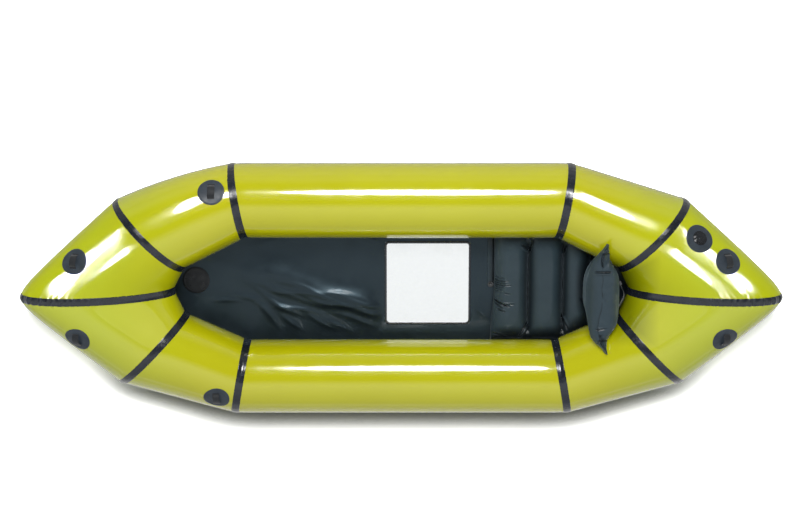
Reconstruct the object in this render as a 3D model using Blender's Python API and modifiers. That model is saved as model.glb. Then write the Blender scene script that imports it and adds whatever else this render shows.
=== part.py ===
"""An inflatable packraft lying on the ground, in metres.

+X points to the stern, +Y to starboard and +Z up, and the origin is on the ground
under the middle of the raft. The hull is a ring of air tubes: two straight side
tubes, four quarter tubes that turn inwards, and four nose halves that meet at the
raised bow and stern. Each skin is a real sheet with the air inside it.
"""

import math
from collections import namedtuple

import bmesh
import bpy
from mathutils import Matrix, Vector

# Hull
HULL_LENGTH = 2.688
HULL_WIDTH = 0.916
SIDE_TUBE_RADIUS = 0.1335
QUARTER_LENGTH = 0.3115
NOSE_LENGTH = 0.4535
SHOULDER_INSET = 0.248
SHOULDER_HALF_WIDTH = 0.172
SHOULDER_HALF_HEIGHT = 0.160
SHOULDER_TURN = math.radians(46)
HEEL_DEPTH = 0.531
NOSE_PITCH = math.radians(11)
NOSE_HALF_HEIGHT = 0.130
NOSE_CENTRE_HEIGHT = 0.190
NOSE_ROUNDING_SHARE = 0.13

# Faceting
TUBE_SIDES = 24
QUARTER_STATION_SHARES = (0, 1 / 3, 2 / 3, 1)
NOSE_STATION_SHARES = (0, 0.28, 0.52, 0.72, 0.88, 1)
PROBE_SHARE = 0.001
TURNED_STEPS = 24

# Skins and seams
SKIN_THICKNESS = 0.0006
SEAM_GAP = 0.001
TAPE_WIDTH = 0.028
TAPE_THICKNESS = 0.0008
LAP_GAP = 0.0005
FIT_GAP = 0.0003
OVERRUN = 0.010

# Floor
FLOOR_THICKNESS = 0.0012
FLOOR_WRAP_SIDES = 3
FLOOR_TUCK_SIDES = 2
WINDOW_LENGTH = 0.299
WINDOW_WIDTH = 0.298
WINDOW_Y = -0.0105
WINDOW_TO_SEAT = 0.0955
WINDOW_CORNER = 0.020
WINDOW_LAP = 0.010
WINDOW_THICKNESS = 0.0008
WINDOW_RIM_WIDTH = 0.008
WINDOW_RIM_THICKNESS = 0.0006
CORNER_SIDES = 5
BOW_PATCH_RADIUS = 0.050
BOW_PATCH_TO_HEEL = 0.063
PATCH_THICKNESS = 0.0008
PATCH_SIDES = 20
PATCH_RINGS = 3

# Tie-down patches and webbing loops
TIE_PATCH_RADIUS = 0.0470
NOSE_TIE_SHARE = 0.52
NOSE_TIE_ANGLE = math.radians(46)
QUARTER_TIE_SHARE = 0.19
QUARTER_TIE_ANGLE = math.radians(58)
LOOP_LENGTH = 0.042
LOOP_WIDTH = 0.025
LOOP_RISE = 0.014
LOOP_FOOT = 0.006
LOOP_STEPS = 8
WEBBING_THICKNESS = 0.0016

# Main valve
VALVE_SHARE = 0.23
VALVE_ANGLE = math.radians(50)
VALVE_PATCH_RADIUS = 0.0505
SOCKET_BORE = 0.0150
SOCKET_WALL = 0.0020
SOCKET_DEPTH = 0.0160
FLANGE_RADIUS = 0.0260
FLANGE_THICKNESS = 0.0015
COLLAR_HEIGHT = 0.0050
INSERT_WALL = 0.0022
INSERT_TOP = 0.0010
INSERT_HEIGHT = 0.0150
SEAT_LEDGE = 0.0035
SEAT_LEDGE_THICKNESS = 0.0020
SPOKE_WIDTH = 0.0020
SPOKE_DEPTH = 0.0020
SPOKE_TO_LEDGE = 0.0030
HUB_RADIUS = 0.0046
STEM_RADIUS = 0.0024
BUTTON_RADIUS = 0.0052
BUTTON_THICKNESS = 0.0015
POPPET_DISC_OVERLAP = 0.0020
POPPET_DISC_THICKNESS = 0.0020
POPPET_TRAVEL = 0.0030
SPRING_HEIGHT = 0.0055
SPRING_WIRE = 0.0004
SPRING_TURNS = 4
SPRING_STEPS = 10
CAP_RADIUS = 0.0210
CAP_TOP = 0.0030
CAP_FLUTES = 16
CAP_FLUTE_DEPTH = 0.0012

# Seat
SEAT_TO_BACKREST = 0.020
SEAT_CHAMBERS = (0.120, 0.127, 0.101)
SEAT_HALF_WIDTH = 0.210
SEAT_THICKNESS = 0.066
SEAT_SEAM_HEIGHT = 0.020
SEAT_CLEARANCE = 0.005
SEAT_EDGE_DRAW = 0.006
SEAT_WELD_SHARE = 0.22
SEAT_BELLY_SHARE = 1.3
CUSHION_SKIN = 0.0008
CUSHION_SEAM = 0.010
CHAMBER_SHARES = (0, 0.08, 0.25, 0.5, 0.75, 0.92)
SEAT_ACROSS_SHARES = (-1, -0.96, -0.85, -0.6, -0.3, 0, 0.3, 0.6, 0.85, 0.96, 1)
PORT_RADIUS = 0.0030

# Seat inflation tube
INFLATION_WIDTH = 0.024
INFLATION_LENGTH = 0.197
INFLATION_THICKNESS = 0.003
INFLATION_KNUCKLE_RADIUS = 0.002
INFLATION_ROOT_Y = 0.170
INFLATION_END_SIDES = 8
INFLATION_COLLAR_LENGTH = 0.014
INFLATION_COLLAR_HEIGHT = 0.008
INFLATION_TO_SEAT = 0.003
COLLAR_ROUNDING = 0.0015

# Mouth valves
MOUTH_FLANGE_RADIUS = 0.010
MOUTH_FLANGE_THICKNESS = 0.0015
MOUTH_PLUG_RADIUS = 0.0065
MOUTH_PLUG_HEIGHT = 0.006
MOUTH_PLUG_WAIST = 0.0050
MOUTH_VALVE_INSET = 0.012

# Backrest
BACKREST_TO_HEEL = 0.103
BACKREST_FOOT_Z = 0.055
BACKREST_HEIGHT = 0.268
BACKREST_HALF_WIDTH = 0.200
BACKREST_LEAN = math.radians(1.7)
BACKREST_FRONT = 0.057
BACKREST_REAR = 0.053
BACKREST_CLEARANCE = 0.008
BACKREST_TOP_DRAW = 0.010
BACKREST_TIP_SWEEP = 0.016
BACKREST_SIDE_ROUNDING = (3, 0.55)
BACKREST_FOOT_ROUNDING = (2.5, 0.7)
BACKREST_TOP_ROUNDING = (2.5, 0.45)
BACKREST_UP_SHARES = (0, 0.07, 0.2, 0.38, 0.56, 0.72, 0.83, 0.91, 0.97, 1)
BACKREST_ACROSS_SHARES = (-1, -0.9, -0.72, -0.48, -0.24, 0, 0.24, 0.48, 0.72, 0.9, 1)
BACKREST_VALVE_UP_SHARE = 0.3
BACKREST_VALVE_ACROSS_SHARE = 0.36
TAB_MIDDLE_SHARE = 0.47
TAB_WIDTH = 0.025
TAB_THICKNESS = 0.0012

# Backrest strap
STRAP_UP_SHARE = 0.613
STRAP_SPAN_SHARE = 0.6125
STRAP_FOOT = 0.010
STRAP_REACH = 0.034
STRAP_STANDOFF = 0.0013
STRAP_BEND = 0.030
STRAP_BEND_STEPS = 6
STRAP_WIDTH = 0.020
SLIDER_LENGTH = 0.014
SLIDER_WALL = 0.0025
SLIDER_FROM_FOOT = 0.024
SLIDER_WINDOW = 0.003

Section = namedtuple("Section", "centre across up")
Place = namedtuple("Place", "panel share angle end side")

ENDS = {"bow": -1, "stern": 1}
SIDES = {"port": -1, "starboard": 1}

LAP_STANDOFF = LAP_GAP + TAPE_THICKNESS
FLOOR_STANDOFF = LAP_STANDOFF + LAP_GAP
HULL_REST = FLOOR_THICKNESS + FLOOR_STANDOFF
TIP_X = HULL_LENGTH / 2
SHOULDER_X = TIP_X - NOSE_LENGTH
SHOULDER_Y = HULL_WIDTH / 2 - SHOULDER_INSET
SIDE_HALF_LENGTH = SHOULDER_X - QUARTER_LENGTH
NOSE_HEEL_X = TIP_X - HEEL_DEPTH
BACKREST_FOOT_X = NOSE_HEEL_X - BACKREST_TO_HEEL
SEAT_REAR_X = BACKREST_FOOT_X - SEAT_TO_BACKREST
SEAT_FRONT_X = SEAT_REAR_X - sum(SEAT_CHAMBERS)
WINDOW_X = SEAT_FRONT_X - WINDOW_TO_SEAT - WINDOW_LENGTH / 2
BOW_PATCH_X = BOW_PATCH_TO_HEEL - NOSE_HEEL_X
SIDE_TUBE_Y = HULL_WIDTH / 2 - SIDE_TUBE_RADIUS
QUARTER_TURN = math.atan2(SIDE_TUBE_Y - SHOULDER_Y, SHOULDER_X - SIDE_HALF_LENGTH)
NOSE_X = (TIP_X + NOSE_HEEL_X) / 2
NOSE_HALF_LENGTH = (TIP_X - NOSE_HEEL_X) / 2

MIDSHIP = Section(
    Vector((0, SIDE_TUBE_Y, SIDE_TUBE_RADIUS + HULL_REST)),
    Vector((0, SIDE_TUBE_RADIUS, 0)),
    Vector((0, 0, SIDE_TUBE_RADIUS)),
)
MITRE = Section(
    Vector((SIDE_HALF_LENGTH, SIDE_TUBE_Y, SIDE_TUBE_RADIUS + HULL_REST)),
    Vector((SIDE_TUBE_RADIUS * math.tan(QUARTER_TURN / 2), SIDE_TUBE_RADIUS, 0)),
    Vector((0, 0, SIDE_TUBE_RADIUS)),
)
SHOULDER = Section(
    Vector((SHOULDER_X, SHOULDER_Y, SHOULDER_HALF_HEIGHT + HULL_REST)),
    SHOULDER_HALF_WIDTH * Vector((math.cos(SHOULDER_TURN), math.sin(SHOULDER_TURN), 0)),
    Vector((0, 0, SHOULDER_HALF_HEIGHT)),
)
NOSE = Section(
    Vector((NOSE_X, 0, NOSE_CENTRE_HEIGHT + HULL_REST)),
    NOSE_HALF_LENGTH * Vector((1, 0, math.tan(NOSE_PITCH))),
    Vector((0, 0, NOSE_HALF_HEIGHT)),
)
PANELS = {
    "side": (MIDSHIP, MITRE, (-1, 1)),
    "quarter": (MITRE, SHOULDER, QUARTER_STATION_SHARES),
    "nose": (SHOULDER, NOSE, NOSE_STATION_SHARES),
}
RING_ANGLES = [2 * math.pi * k / TUBE_SIDES for k in range(TUBE_SIDES)]
UNDERSIDE = -math.pi / 2
SIDE_STEP = 2 * math.pi / TUBE_SIDES


# The tubes' surface, worked out for the stern starboard quarter and mirrored

def ring_point(section, angle):
    return section.centre + section.across * math.cos(angle) + section.up * math.sin(angle)


def nose_bend(away):
    """How far out of the centre plane's outline a nose is, for a share of its half width."""
    rounding = NOSE_ROUNDING_SHARE
    return (math.hypot(away, rounding) - rounding) / (math.hypot(1, rounding) - rounding)


def smooth_point(panel, share, angle):
    start, end, _ = PANELS[panel]
    first, last = ring_point(start, angle), ring_point(end, angle)
    if panel != "nose":
        return first.lerp(last, share)
    away = 1 - share
    bend = nose_bend(away)
    point = last.lerp(first, bend)
    point.y = first.y * away
    return point


def facet_point(panel, share, angle):
    """The same on the straight facets between the panel's stations."""
    stations = PANELS[panel][2]
    span = 1
    while span < len(stations) - 1 and share > stations[span]:
        span += 1
    start, end = stations[span - 1], stations[span]
    part = (share - start) / (end - start)
    return smooth_point(panel, start, angle).lerp(smooth_point(panel, end, angle), part)


def outward(panel, share, angle):
    around = smooth_point(panel, share, angle + PROBE_SHARE)
    around -= smooth_point(panel, share, angle - PROBE_SHARE)
    along = smooth_point(panel, share + PROBE_SHARE, angle)
    along -= smooth_point(panel, share - PROBE_SHARE, angle)
    return around.cross(along).normalized()


def raised(panel, share, angle, distance):
    return facet_point(panel, share, angle) + outward(panel, share, angle) * distance


def seam_point(before, after, angle, distance):
    """A point at a distance over the seam where one panel ends and the next begins."""
    normals = [outward(before, 1, angle), outward(after, 0, angle)]
    middle = (normals[0] + normals[1]).normalized()
    return ring_point(PANELS[before][1], angle) + middle * (distance / middle.dot(normals[0]))


def share_back(panel, angle, distance):
    """The share of a panel that lies this far before its end."""
    last_station = PANELS[panel][2][-2]
    span = facet_point(panel, 1, angle) - facet_point(panel, last_station, angle)
    return 1 - distance * (1 - last_station) / span.length


def share_on(panel, angle, distance):
    """The share of a panel that lies this far past its start."""
    first_station = PANELS[panel][2][1]
    span = facet_point(panel, first_station, angle) - facet_point(panel, 0, angle)
    return distance * first_station / span.length


def mirrored(point, end, side):
    return Vector((point.x * end, point.y * side, point.z))


def well_half_width(x, height):
    """Half the width between the tubes' inner walls at this place."""
    def inner_point(share):
        centre = MITRE.centre.lerp(SHOULDER.centre, share)
        tall = MITRE.up.lerp(SHOULDER.up, share).z
        sine = max(-1, min(1, (height - centre.z) / tall))
        return smooth_point("quarter", share, math.pi - math.asin(sine))

    low, high = 0, 1
    if x <= inner_point(low).x:
        return inner_point(low).y
    while high - low > PROBE_SHARE:
        middle = (low + high) / 2
        if inner_point(middle).x < x:
            low = middle
        else:
            high = middle
    return inner_point(low).y


# A place on the skin, and points around it

def place_point(place, share=0, angle=0):
    point = smooth_point(place.panel, place.share + share, place.angle + angle)
    return mirrored(point, place.end, place.side)


def place_normal(place, share=0, angle=0):
    normal = outward(place.panel, place.share + share, place.angle + angle)
    return mirrored(normal, place.end, place.side)


def place_axes(place):
    """(along, across, normal): along lies in the skin, as near to crosswise of the raft as it can."""
    normal = place_normal(place)
    athwart = Vector((0, 1, 0))
    along = (athwart - normal * athwart.dot(normal)).normalized()
    return along, normal.cross(along), normal


def place_nearby(place, axes, along, across, lift):
    """The point of the skin whose offsets in the place's own axes are these, raised by lift."""
    centre = place_point(place)
    share = angle = 0
    for _ in range(6):
        here = place_point(place, share, angle)
        by_share = (place_point(place, share + PROBE_SHARE, angle) - here) / PROBE_SHARE
        by_angle = (place_point(place, share, angle + PROBE_SHARE) - here) / PROBE_SHARE
        miss = Vector((along - (here - centre).dot(axes[0]), across - (here - centre).dot(axes[1])))
        slopes = Matrix((
            (by_share.dot(axes[0]), by_angle.dot(axes[0])),
            (by_share.dot(axes[1]), by_angle.dot(axes[1])),
        ))
        step = slopes.inverted() @ miss
        share, angle = share + step.x, angle + step.y
    return place_point(place, share, angle) + place_normal(place, share, angle) * lift


# Objects

def clear_scene():
    for thing in list(bpy.data.objects):
        bpy.data.objects.remove(thing, do_unlink=True)


def make_collection(name):
    collection = bpy.data.collections.new(name)
    bpy.context.scene.collection.children.link(collection)
    return collection


def make_material(name, colour, roughness, metallic=0, alpha=1):
    material = bpy.data.materials.new(name)
    material.use_nodes = True
    shader = material.node_tree.nodes["Principled BSDF"]
    shader.inputs["Base Color"].default_value = (*colour, 1)
    shader.inputs["Roughness"].default_value = roughness
    shader.inputs["Metallic"].default_value = metallic
    shader.inputs["Alpha"].default_value = alpha
    return material


def add_object(name, data, material, frame=None, parent=None):
    thing = bpy.data.objects.new(name, data)
    thing.data.materials.append(material)
    parts.objects.link(thing)
    if parent:
        thing.parent = parent
    if frame:
        thing.matrix_local = frame
    return thing


def add_cutter(name, mesh, frame=None, parent=None):
    thing = bpy.data.objects.new(name, mesh)
    thing.hide_render = True
    thing.display_type = "WIRE"
    cutters.objects.link(thing)
    if parent:
        thing.parent = parent
    if frame:
        thing.matrix_local = frame
    return thing


def add_axis(name, frame, parent=None):
    axis = bpy.data.objects.new(name, None)
    parts.objects.link(axis)
    if parent:
        axis.parent = parent
    axis.matrix_local = frame
    return axis


def combine(thing, other, operation):
    modifier = thing.modifiers.new(operation.title(), "BOOLEAN")
    modifier.operation = operation
    modifier.object = other


def thicken(thing, thickness, offset):
    modifier = thing.modifiers.new("Thickness", "SOLIDIFY")
    modifier.thickness = thickness
    modifier.offset = offset
    modifier.use_even_offset = True


def smooth(mesh):
    mesh.shade_smooth()
    mesh.set_sharp_from_angle(angle=math.radians(40))


def loft(name, rows, closed=False, flipped=False, centre=None):
    """A sheet through rows of points, closed round each row or not, with a fan to a centre point."""
    mesh = bmesh.new()
    grid = [[mesh.verts.new(point) for point in row] for row in rows]
    count = len(rows[0])
    for row, after in zip(grid, grid[1:]):
        for k in range(count if closed else count - 1):
            following = (k + 1) % count
            mesh.faces.new((row[k], row[following], after[following], after[k]))
    if centre:
        middle = mesh.verts.new(centre)
        for k in range(count):
            mesh.faces.new((grid[-1][k], grid[-1][(k + 1) % count], middle))
    if flipped:
        bmesh.ops.reverse_faces(mesh, faces=mesh.faces)
    bmesh.ops.remove_doubles(mesh, verts=mesh.verts, dist=FIT_GAP / 10)
    data = bpy.data.meshes.new(name)
    mesh.to_mesh(data)
    mesh.free()
    smooth(data)
    return data


def box_mesh(name, size, centre=Vector()):
    mesh = bmesh.new()
    bmesh.ops.create_cube(mesh, size=1)
    bmesh.ops.scale(mesh, vec=size, verts=mesh.verts)
    bmesh.ops.translate(mesh, vec=centre, verts=mesh.verts)
    data = bpy.data.meshes.new(name)
    mesh.to_mesh(data)
    mesh.free()
    return data


def cylinder_mesh(name, radius, bottom, top, sides=TURNED_STEPS):
    mesh = bmesh.new()
    bmesh.ops.create_cone(
        mesh, cap_ends=True, segments=sides, radius1=radius, radius2=radius, depth=top - bottom
    )
    bmesh.ops.translate(mesh, vec=Vector((0, 0, (top + bottom) / 2)), verts=mesh.verts)
    data = bpy.data.meshes.new(name)
    mesh.to_mesh(data)
    mesh.free()
    smooth(data)
    return data


def turned(name, profile, material, parent, ring=False):
    """A piece turned about local Z: the profile runs down its outer side, and a ring's is closed."""
    mesh = bpy.data.meshes.new(name)
    edges = [(k, k + 1) for k in range(len(profile) - 1)]
    if ring:
        edges.append((len(profile) - 1, 0))
    mesh.from_pydata([(radius, 0, height) for radius, height in profile], edges, [])
    thing = add_object(name, mesh, material, parent=parent)
    screw = thing.modifiers.new("Turn", "SCREW")
    screw.steps = screw.render_steps = TURNED_STEPS
    screw.use_merge_vertices = True
    screw.merge_threshold = PROBE_SHARE * FIT_GAP
    screw.use_normal_calculate = False
    return thing


def rounded_outline(half_length, half_width, corner):
    """Points round a rectangle with round corners, anticlockwise."""
    points = []
    for quarter in range(4):
        turn = quarter * math.pi / 2
        x_sign, y_sign = ((1, 1), (-1, 1), (-1, -1), (1, -1))[quarter]
        for k in range(CORNER_SIDES + 1):
            angle = turn + math.pi / 2 * k / CORNER_SIDES
            points.append(Vector((
                x_sign * (half_length - corner) + corner * math.cos(angle),
                y_sign * (half_width - corner) + corner * math.sin(angle),
            )))
    return points


def flat_outline(name, outlines, thickness):
    """A filled flat curve with its holes, thickened evenly about its plane."""
    curve = bpy.data.curves.new(name, "CURVE")
    curve.dimensions = "2D"
    curve.fill_mode = "BOTH"
    curve.extrude = thickness / 2
    for outline in outlines:
        spline = curve.splines.new("POLY")
        spline.points.add(len(outline) - 1)
        for target, point in zip(spline.points, outline):
            target.co = (point.x, point.y, 0, 1)
        spline.use_cyclic_u = True
    return curve


def meshed(curve):
    """A curve's own mesh, joined up so that a Boolean takes it."""
    source = bpy.data.objects.new(curve.name, curve)
    mesh = bpy.data.meshes.new_from_object(source)
    bpy.data.objects.remove(source)
    joined = bmesh.new()
    joined.from_mesh(mesh)
    bmesh.ops.remove_doubles(joined, verts=joined.verts, dist=FIT_GAP / 10)
    joined.to_mesh(mesh)
    joined.free()
    return mesh


# Hull skins

def panel_shares(panel, angle, gap):
    """The shares at which a panel's ring points lie along this angle."""
    shares = list(PANELS[panel][2])
    if panel == "side":
        shares[0] = -share_back(panel, angle, gap)
    else:
        shares[0] = share_on(panel, angle, gap)
    shares[-1] = share_back(panel, angle, gap)
    if panel == "nose":
        shares.insert(1, share_on(panel, angle, TAPE_WIDTH / 2))
    return shares


def panel_rows(panel):
    lines = []
    for angle in RING_ANGLES:
        shares = panel_shares(panel, angle, SEAM_GAP / 2)
        lines.append([facet_point(panel, share, angle) for share in shares])
    return [list(row) for row in zip(*lines)]


def add_skin(name, rows, end, side):
    rows = [[mirrored(point, end, side) for point in row] for row in rows]
    data = loft(name, rows, closed=True, flipped=end * side < 0)
    thing = add_object(name, data, hull_material)
    thicken(thing, SKIN_THICKNESS, -1)
    return thing


def add_hull_skins():
    skins = {}
    for side_name, side in SIDES.items():
        add_skin(f"{side_name}_side_tube", panel_rows("side"), 1, side)
        for end_name, end in ENDS.items():
            for panel in ("quarter", "nose"):
                name = f"{end_name}_{side_name}_{panel}_tube"
                skins[name] = add_skin(name, panel_rows(panel), end, side)
    return skins


# Seam tapes

def tape_rows(before, after):
    """Three rows across a seam tape's outer face: its rim, the seam and its other rim."""
    half = TAPE_WIDTH / 2
    first, middle, last = [], [], []
    for angle in RING_ANGLES:
        share = share_back(before, angle, half)
        first.append(raised(before, share, angle, LAP_STANDOFF))
        middle.append(seam_point(before, after, angle, LAP_STANDOFF))
        share = share_on(after, angle, half)
        last.append(raised(after, share, angle, LAP_STANDOFF))
    return [first, middle, last]


def centre_tape_rows():
    starboard, middle, port = [], [], []
    for angle in RING_ANGLES:
        share = share_back("nose", angle, TAPE_WIDTH / 2)
        rim = raised("nose", share, angle, LAP_STANDOFF)
        starboard.append(rim)
        middle.append(raised("nose", 1, angle, LAP_STANDOFF))
        port.append(mirrored(rim, 1, -1))
    return [starboard, middle, port]


def add_tape(name, rows, end, side):
    rows = [[mirrored(point, end, side) for point in row] for row in rows]
    data = loft(name, rows, closed=True, flipped=end * side < 0)
    thicken(add_object(name, data, tape_material), TAPE_THICKNESS, -1)


def add_tapes():
    for end_name, end in ENDS.items():
        for side_name, side in SIDES.items():
            stem = f"{end_name}_{side_name}"
            add_tape(f"{stem}_mitre_tape", tape_rows("side", "quarter"), end, side)
            add_tape(f"{stem}_shoulder_tape", tape_rows("quarter", "nose"), end, side)
        add_tape(f"{end_name}_centre_tape", centre_tape_rows(), end, 1)


# Floor

def floor_point(panel, share, angle):
    """A point of the floor's inner face, over the seam tapes."""
    if share == 1 and panel == "side":
        return seam_point("side", "quarter", angle, FLOOR_STANDOFF)
    if share == 1 and panel == "quarter":
        return seam_point("quarter", "nose", angle, FLOOR_STANDOFF)
    return raised(panel, share, angle, FLOOR_STANDOFF)


def floor_row(panel, share):
    """From the centre plane out under the tube and up its outer flank."""
    flank = [
        floor_point(panel, share, UNDERSIDE + k * SIDE_STEP)
        for k in range(FLOOR_WRAP_SIDES + 1)
    ]
    inner = []
    lowest = flank[0].z
    for k in range(1, FLOOR_TUCK_SIDES + 1):
        point = floor_point(panel, share, UNDERSIDE - k * SIDE_STEP)
        lowest = min(lowest, point.z)
        inner.insert(0, Vector((point.x, point.y, lowest)))
    centre = Vector((inner[0].x, 0, lowest))
    return [centre, *inner, *flank]


def floor_rows():
    stern = [floor_row("side", 1)]
    stern += [floor_row("quarter", share) for share in QUARTER_STATION_SHARES[1:]]
    stern += [floor_row("nose", share) for share in NOSE_STATION_SHARES[1:]]
    bow = [[mirrored(point, -1, 1) for point in row] for row in reversed(stern)]
    return bow + stern


def add_floor():
    floor = add_object("floor_sheet", loft("floor_sheet", floor_rows()), floor_material)
    mirror = floor.modifiers.new("Port half", "MIRROR")
    mirror.use_axis = (False, True, False)
    mirror.merge_threshold = PROBE_SHARE * TAPE_THICKNESS
    thicken(floor, FLOOR_THICKNESS, 1)
    opening = rounded_outline(WINDOW_LENGTH / 2, WINDOW_WIDTH / 2, WINDOW_CORNER)
    reach = FLOOR_THICKNESS + OVERRUN
    rows = [
        [Vector((point.x + WINDOW_X, point.y + WINDOW_Y, level)) for point in opening]
        for level in (-reach, reach)
    ]
    mesh = bmesh.new()
    rings = [[mesh.verts.new(point) for point in row] for row in rows]
    count = len(opening)
    for k in range(count):
        following = (k + 1) % count
        mesh.faces.new((rings[0][k], rings[0][following], rings[1][following], rings[1][k]))
    mesh.faces.new(reversed(rings[0]))
    mesh.faces.new(rings[1])
    data = bpy.data.meshes.new("window_opening")
    mesh.to_mesh(data)
    mesh.free()
    combine(floor, add_cutter("window_opening", data), "DIFFERENCE")


def add_window():
    pane_level = FLOOR_THICKNESS + FIT_GAP + WINDOW_THICKNESS / 2
    pane = flat_outline(
        "floor_window",
        [rounded_outline(
            WINDOW_LENGTH / 2 + WINDOW_LAP, WINDOW_WIDTH / 2 + WINDOW_LAP, WINDOW_CORNER + WINDOW_LAP
        )],
        WINDOW_THICKNESS,
    )
    frame = Matrix.Translation((WINDOW_X, WINDOW_Y, pane_level))
    add_object("floor_window", pane, window_material, frame)
    rim_level = pane_level + WINDOW_THICKNESS / 2 + FIT_GAP + WINDOW_RIM_THICKNESS / 2
    rim = flat_outline(
        "window_rim",
        [
            rounded_outline(
                WINDOW_LENGTH / 2 + WINDOW_RIM_WIDTH,
                WINDOW_WIDTH / 2 + WINDOW_RIM_WIDTH,
                WINDOW_CORNER + WINDOW_RIM_WIDTH,
            ),
            rounded_outline(WINDOW_LENGTH / 2, WINDOW_WIDTH / 2, WINDOW_CORNER),
        ],
        WINDOW_RIM_THICKNESS,
    )
    add_object("window_rim", rim, tape_material, Matrix.Translation((WINDOW_X, WINDOW_Y, rim_level)))


def add_bow_floor_patch():
    level = FLOOR_THICKNESS + FIT_GAP
    mesh = cylinder_mesh("bow_floor_patch", BOW_PATCH_RADIUS, 0, PATCH_THICKNESS)
    add_object("bow_floor_patch", mesh, patch_material, Matrix.Translation((BOW_PATCH_X, 0, level)))


# Tie-down patches

def add_patch(name, place, radius, hole=0):
    axes = place_axes(place)
    rings = PATCH_RINGS if not hole else PATCH_RINGS - 1
    rows = []
    for ring in range(rings):
        size = hole + (radius - hole) * (rings - ring) / rings
        rows.append([
            place_nearby(
                place, axes,
                size * math.cos(2 * math.pi * k / PATCH_SIDES),
                size * math.sin(2 * math.pi * k / PATCH_SIDES),
                LAP_GAP,
            )
            for k in range(PATCH_SIDES)
        ])
    if hole:
        rows.append([
            place_nearby(
                place, axes,
                hole * math.cos(2 * math.pi * k / PATCH_SIDES),
                hole * math.sin(2 * math.pi * k / PATCH_SIDES),
                LAP_GAP,
            )
            for k in range(PATCH_SIDES)
        ])
        data = loft(name, rows, closed=True)
    else:
        centre = place_nearby(place, axes, 0, 0, LAP_GAP)
        data = loft(name, rows, closed=True, centre=centre)
    thicken(add_object(name, data, patch_material), PATCH_THICKNESS, 1)


def add_loop(name, place):
    """A strip of webbing arched over the patch, with its ends flat on it."""
    axes = place_axes(place)
    lift = LAP_GAP + PATCH_THICKNESS + FIT_GAP + WEBBING_THICKNESS / 2
    half = LOOP_LENGTH / 2

    def strip_row(along):
        return [
            place_nearby(place, axes, along, side * LOOP_WIDTH / 2, lift) for side in (-1, 0, 1)
        ]

    near, far = strip_row(-half), strip_row(half)
    rows = [strip_row(-half - LOOP_FOOT), near]
    for k in range(1, LOOP_STEPS):
        share = k / LOOP_STEPS
        rise = axes[2] * (LOOP_RISE * math.sqrt(4 * share * (1 - share)))
        rows.append([start.lerp(end, share) + rise for start, end in zip(near, far)])
    rows += [far, strip_row(half + LOOP_FOOT)]
    thicken(add_object(name, loft(name, rows), webbing_material), WEBBING_THICKNESS, 0)


def tie_places():
    places = {}
    for side_name, side in SIDES.items():
        for end_name, end in ENDS.items():
            places[f"{end_name}_{side_name}_nose"] = Place(
                "nose", NOSE_TIE_SHARE, NOSE_TIE_ANGLE, end, side
            )
        places[f"bow_{side_name}_quarter"] = Place(
            "quarter", QUARTER_TIE_SHARE, QUARTER_TIE_ANGLE, ENDS["bow"], side
        )
    return places


def add_tie_downs():
    for name, place in tie_places().items():
        add_patch(f"{name}_patch", place, TIE_PATCH_RADIUS)
        add_loop(f"{name}_loop", place)


# Main valve, in its own frame: local Z stands out of the skin

def valve_frame(place):
    along, across, normal = place_axes(place)
    return frame_of(place_point(place), along, across, normal)


def frame_of(origin, x_axis, y_axis, z_axis):
    frame = Matrix((x_axis, y_axis, z_axis)).transposed().to_4x4()
    frame.translation = origin
    return frame


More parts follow.
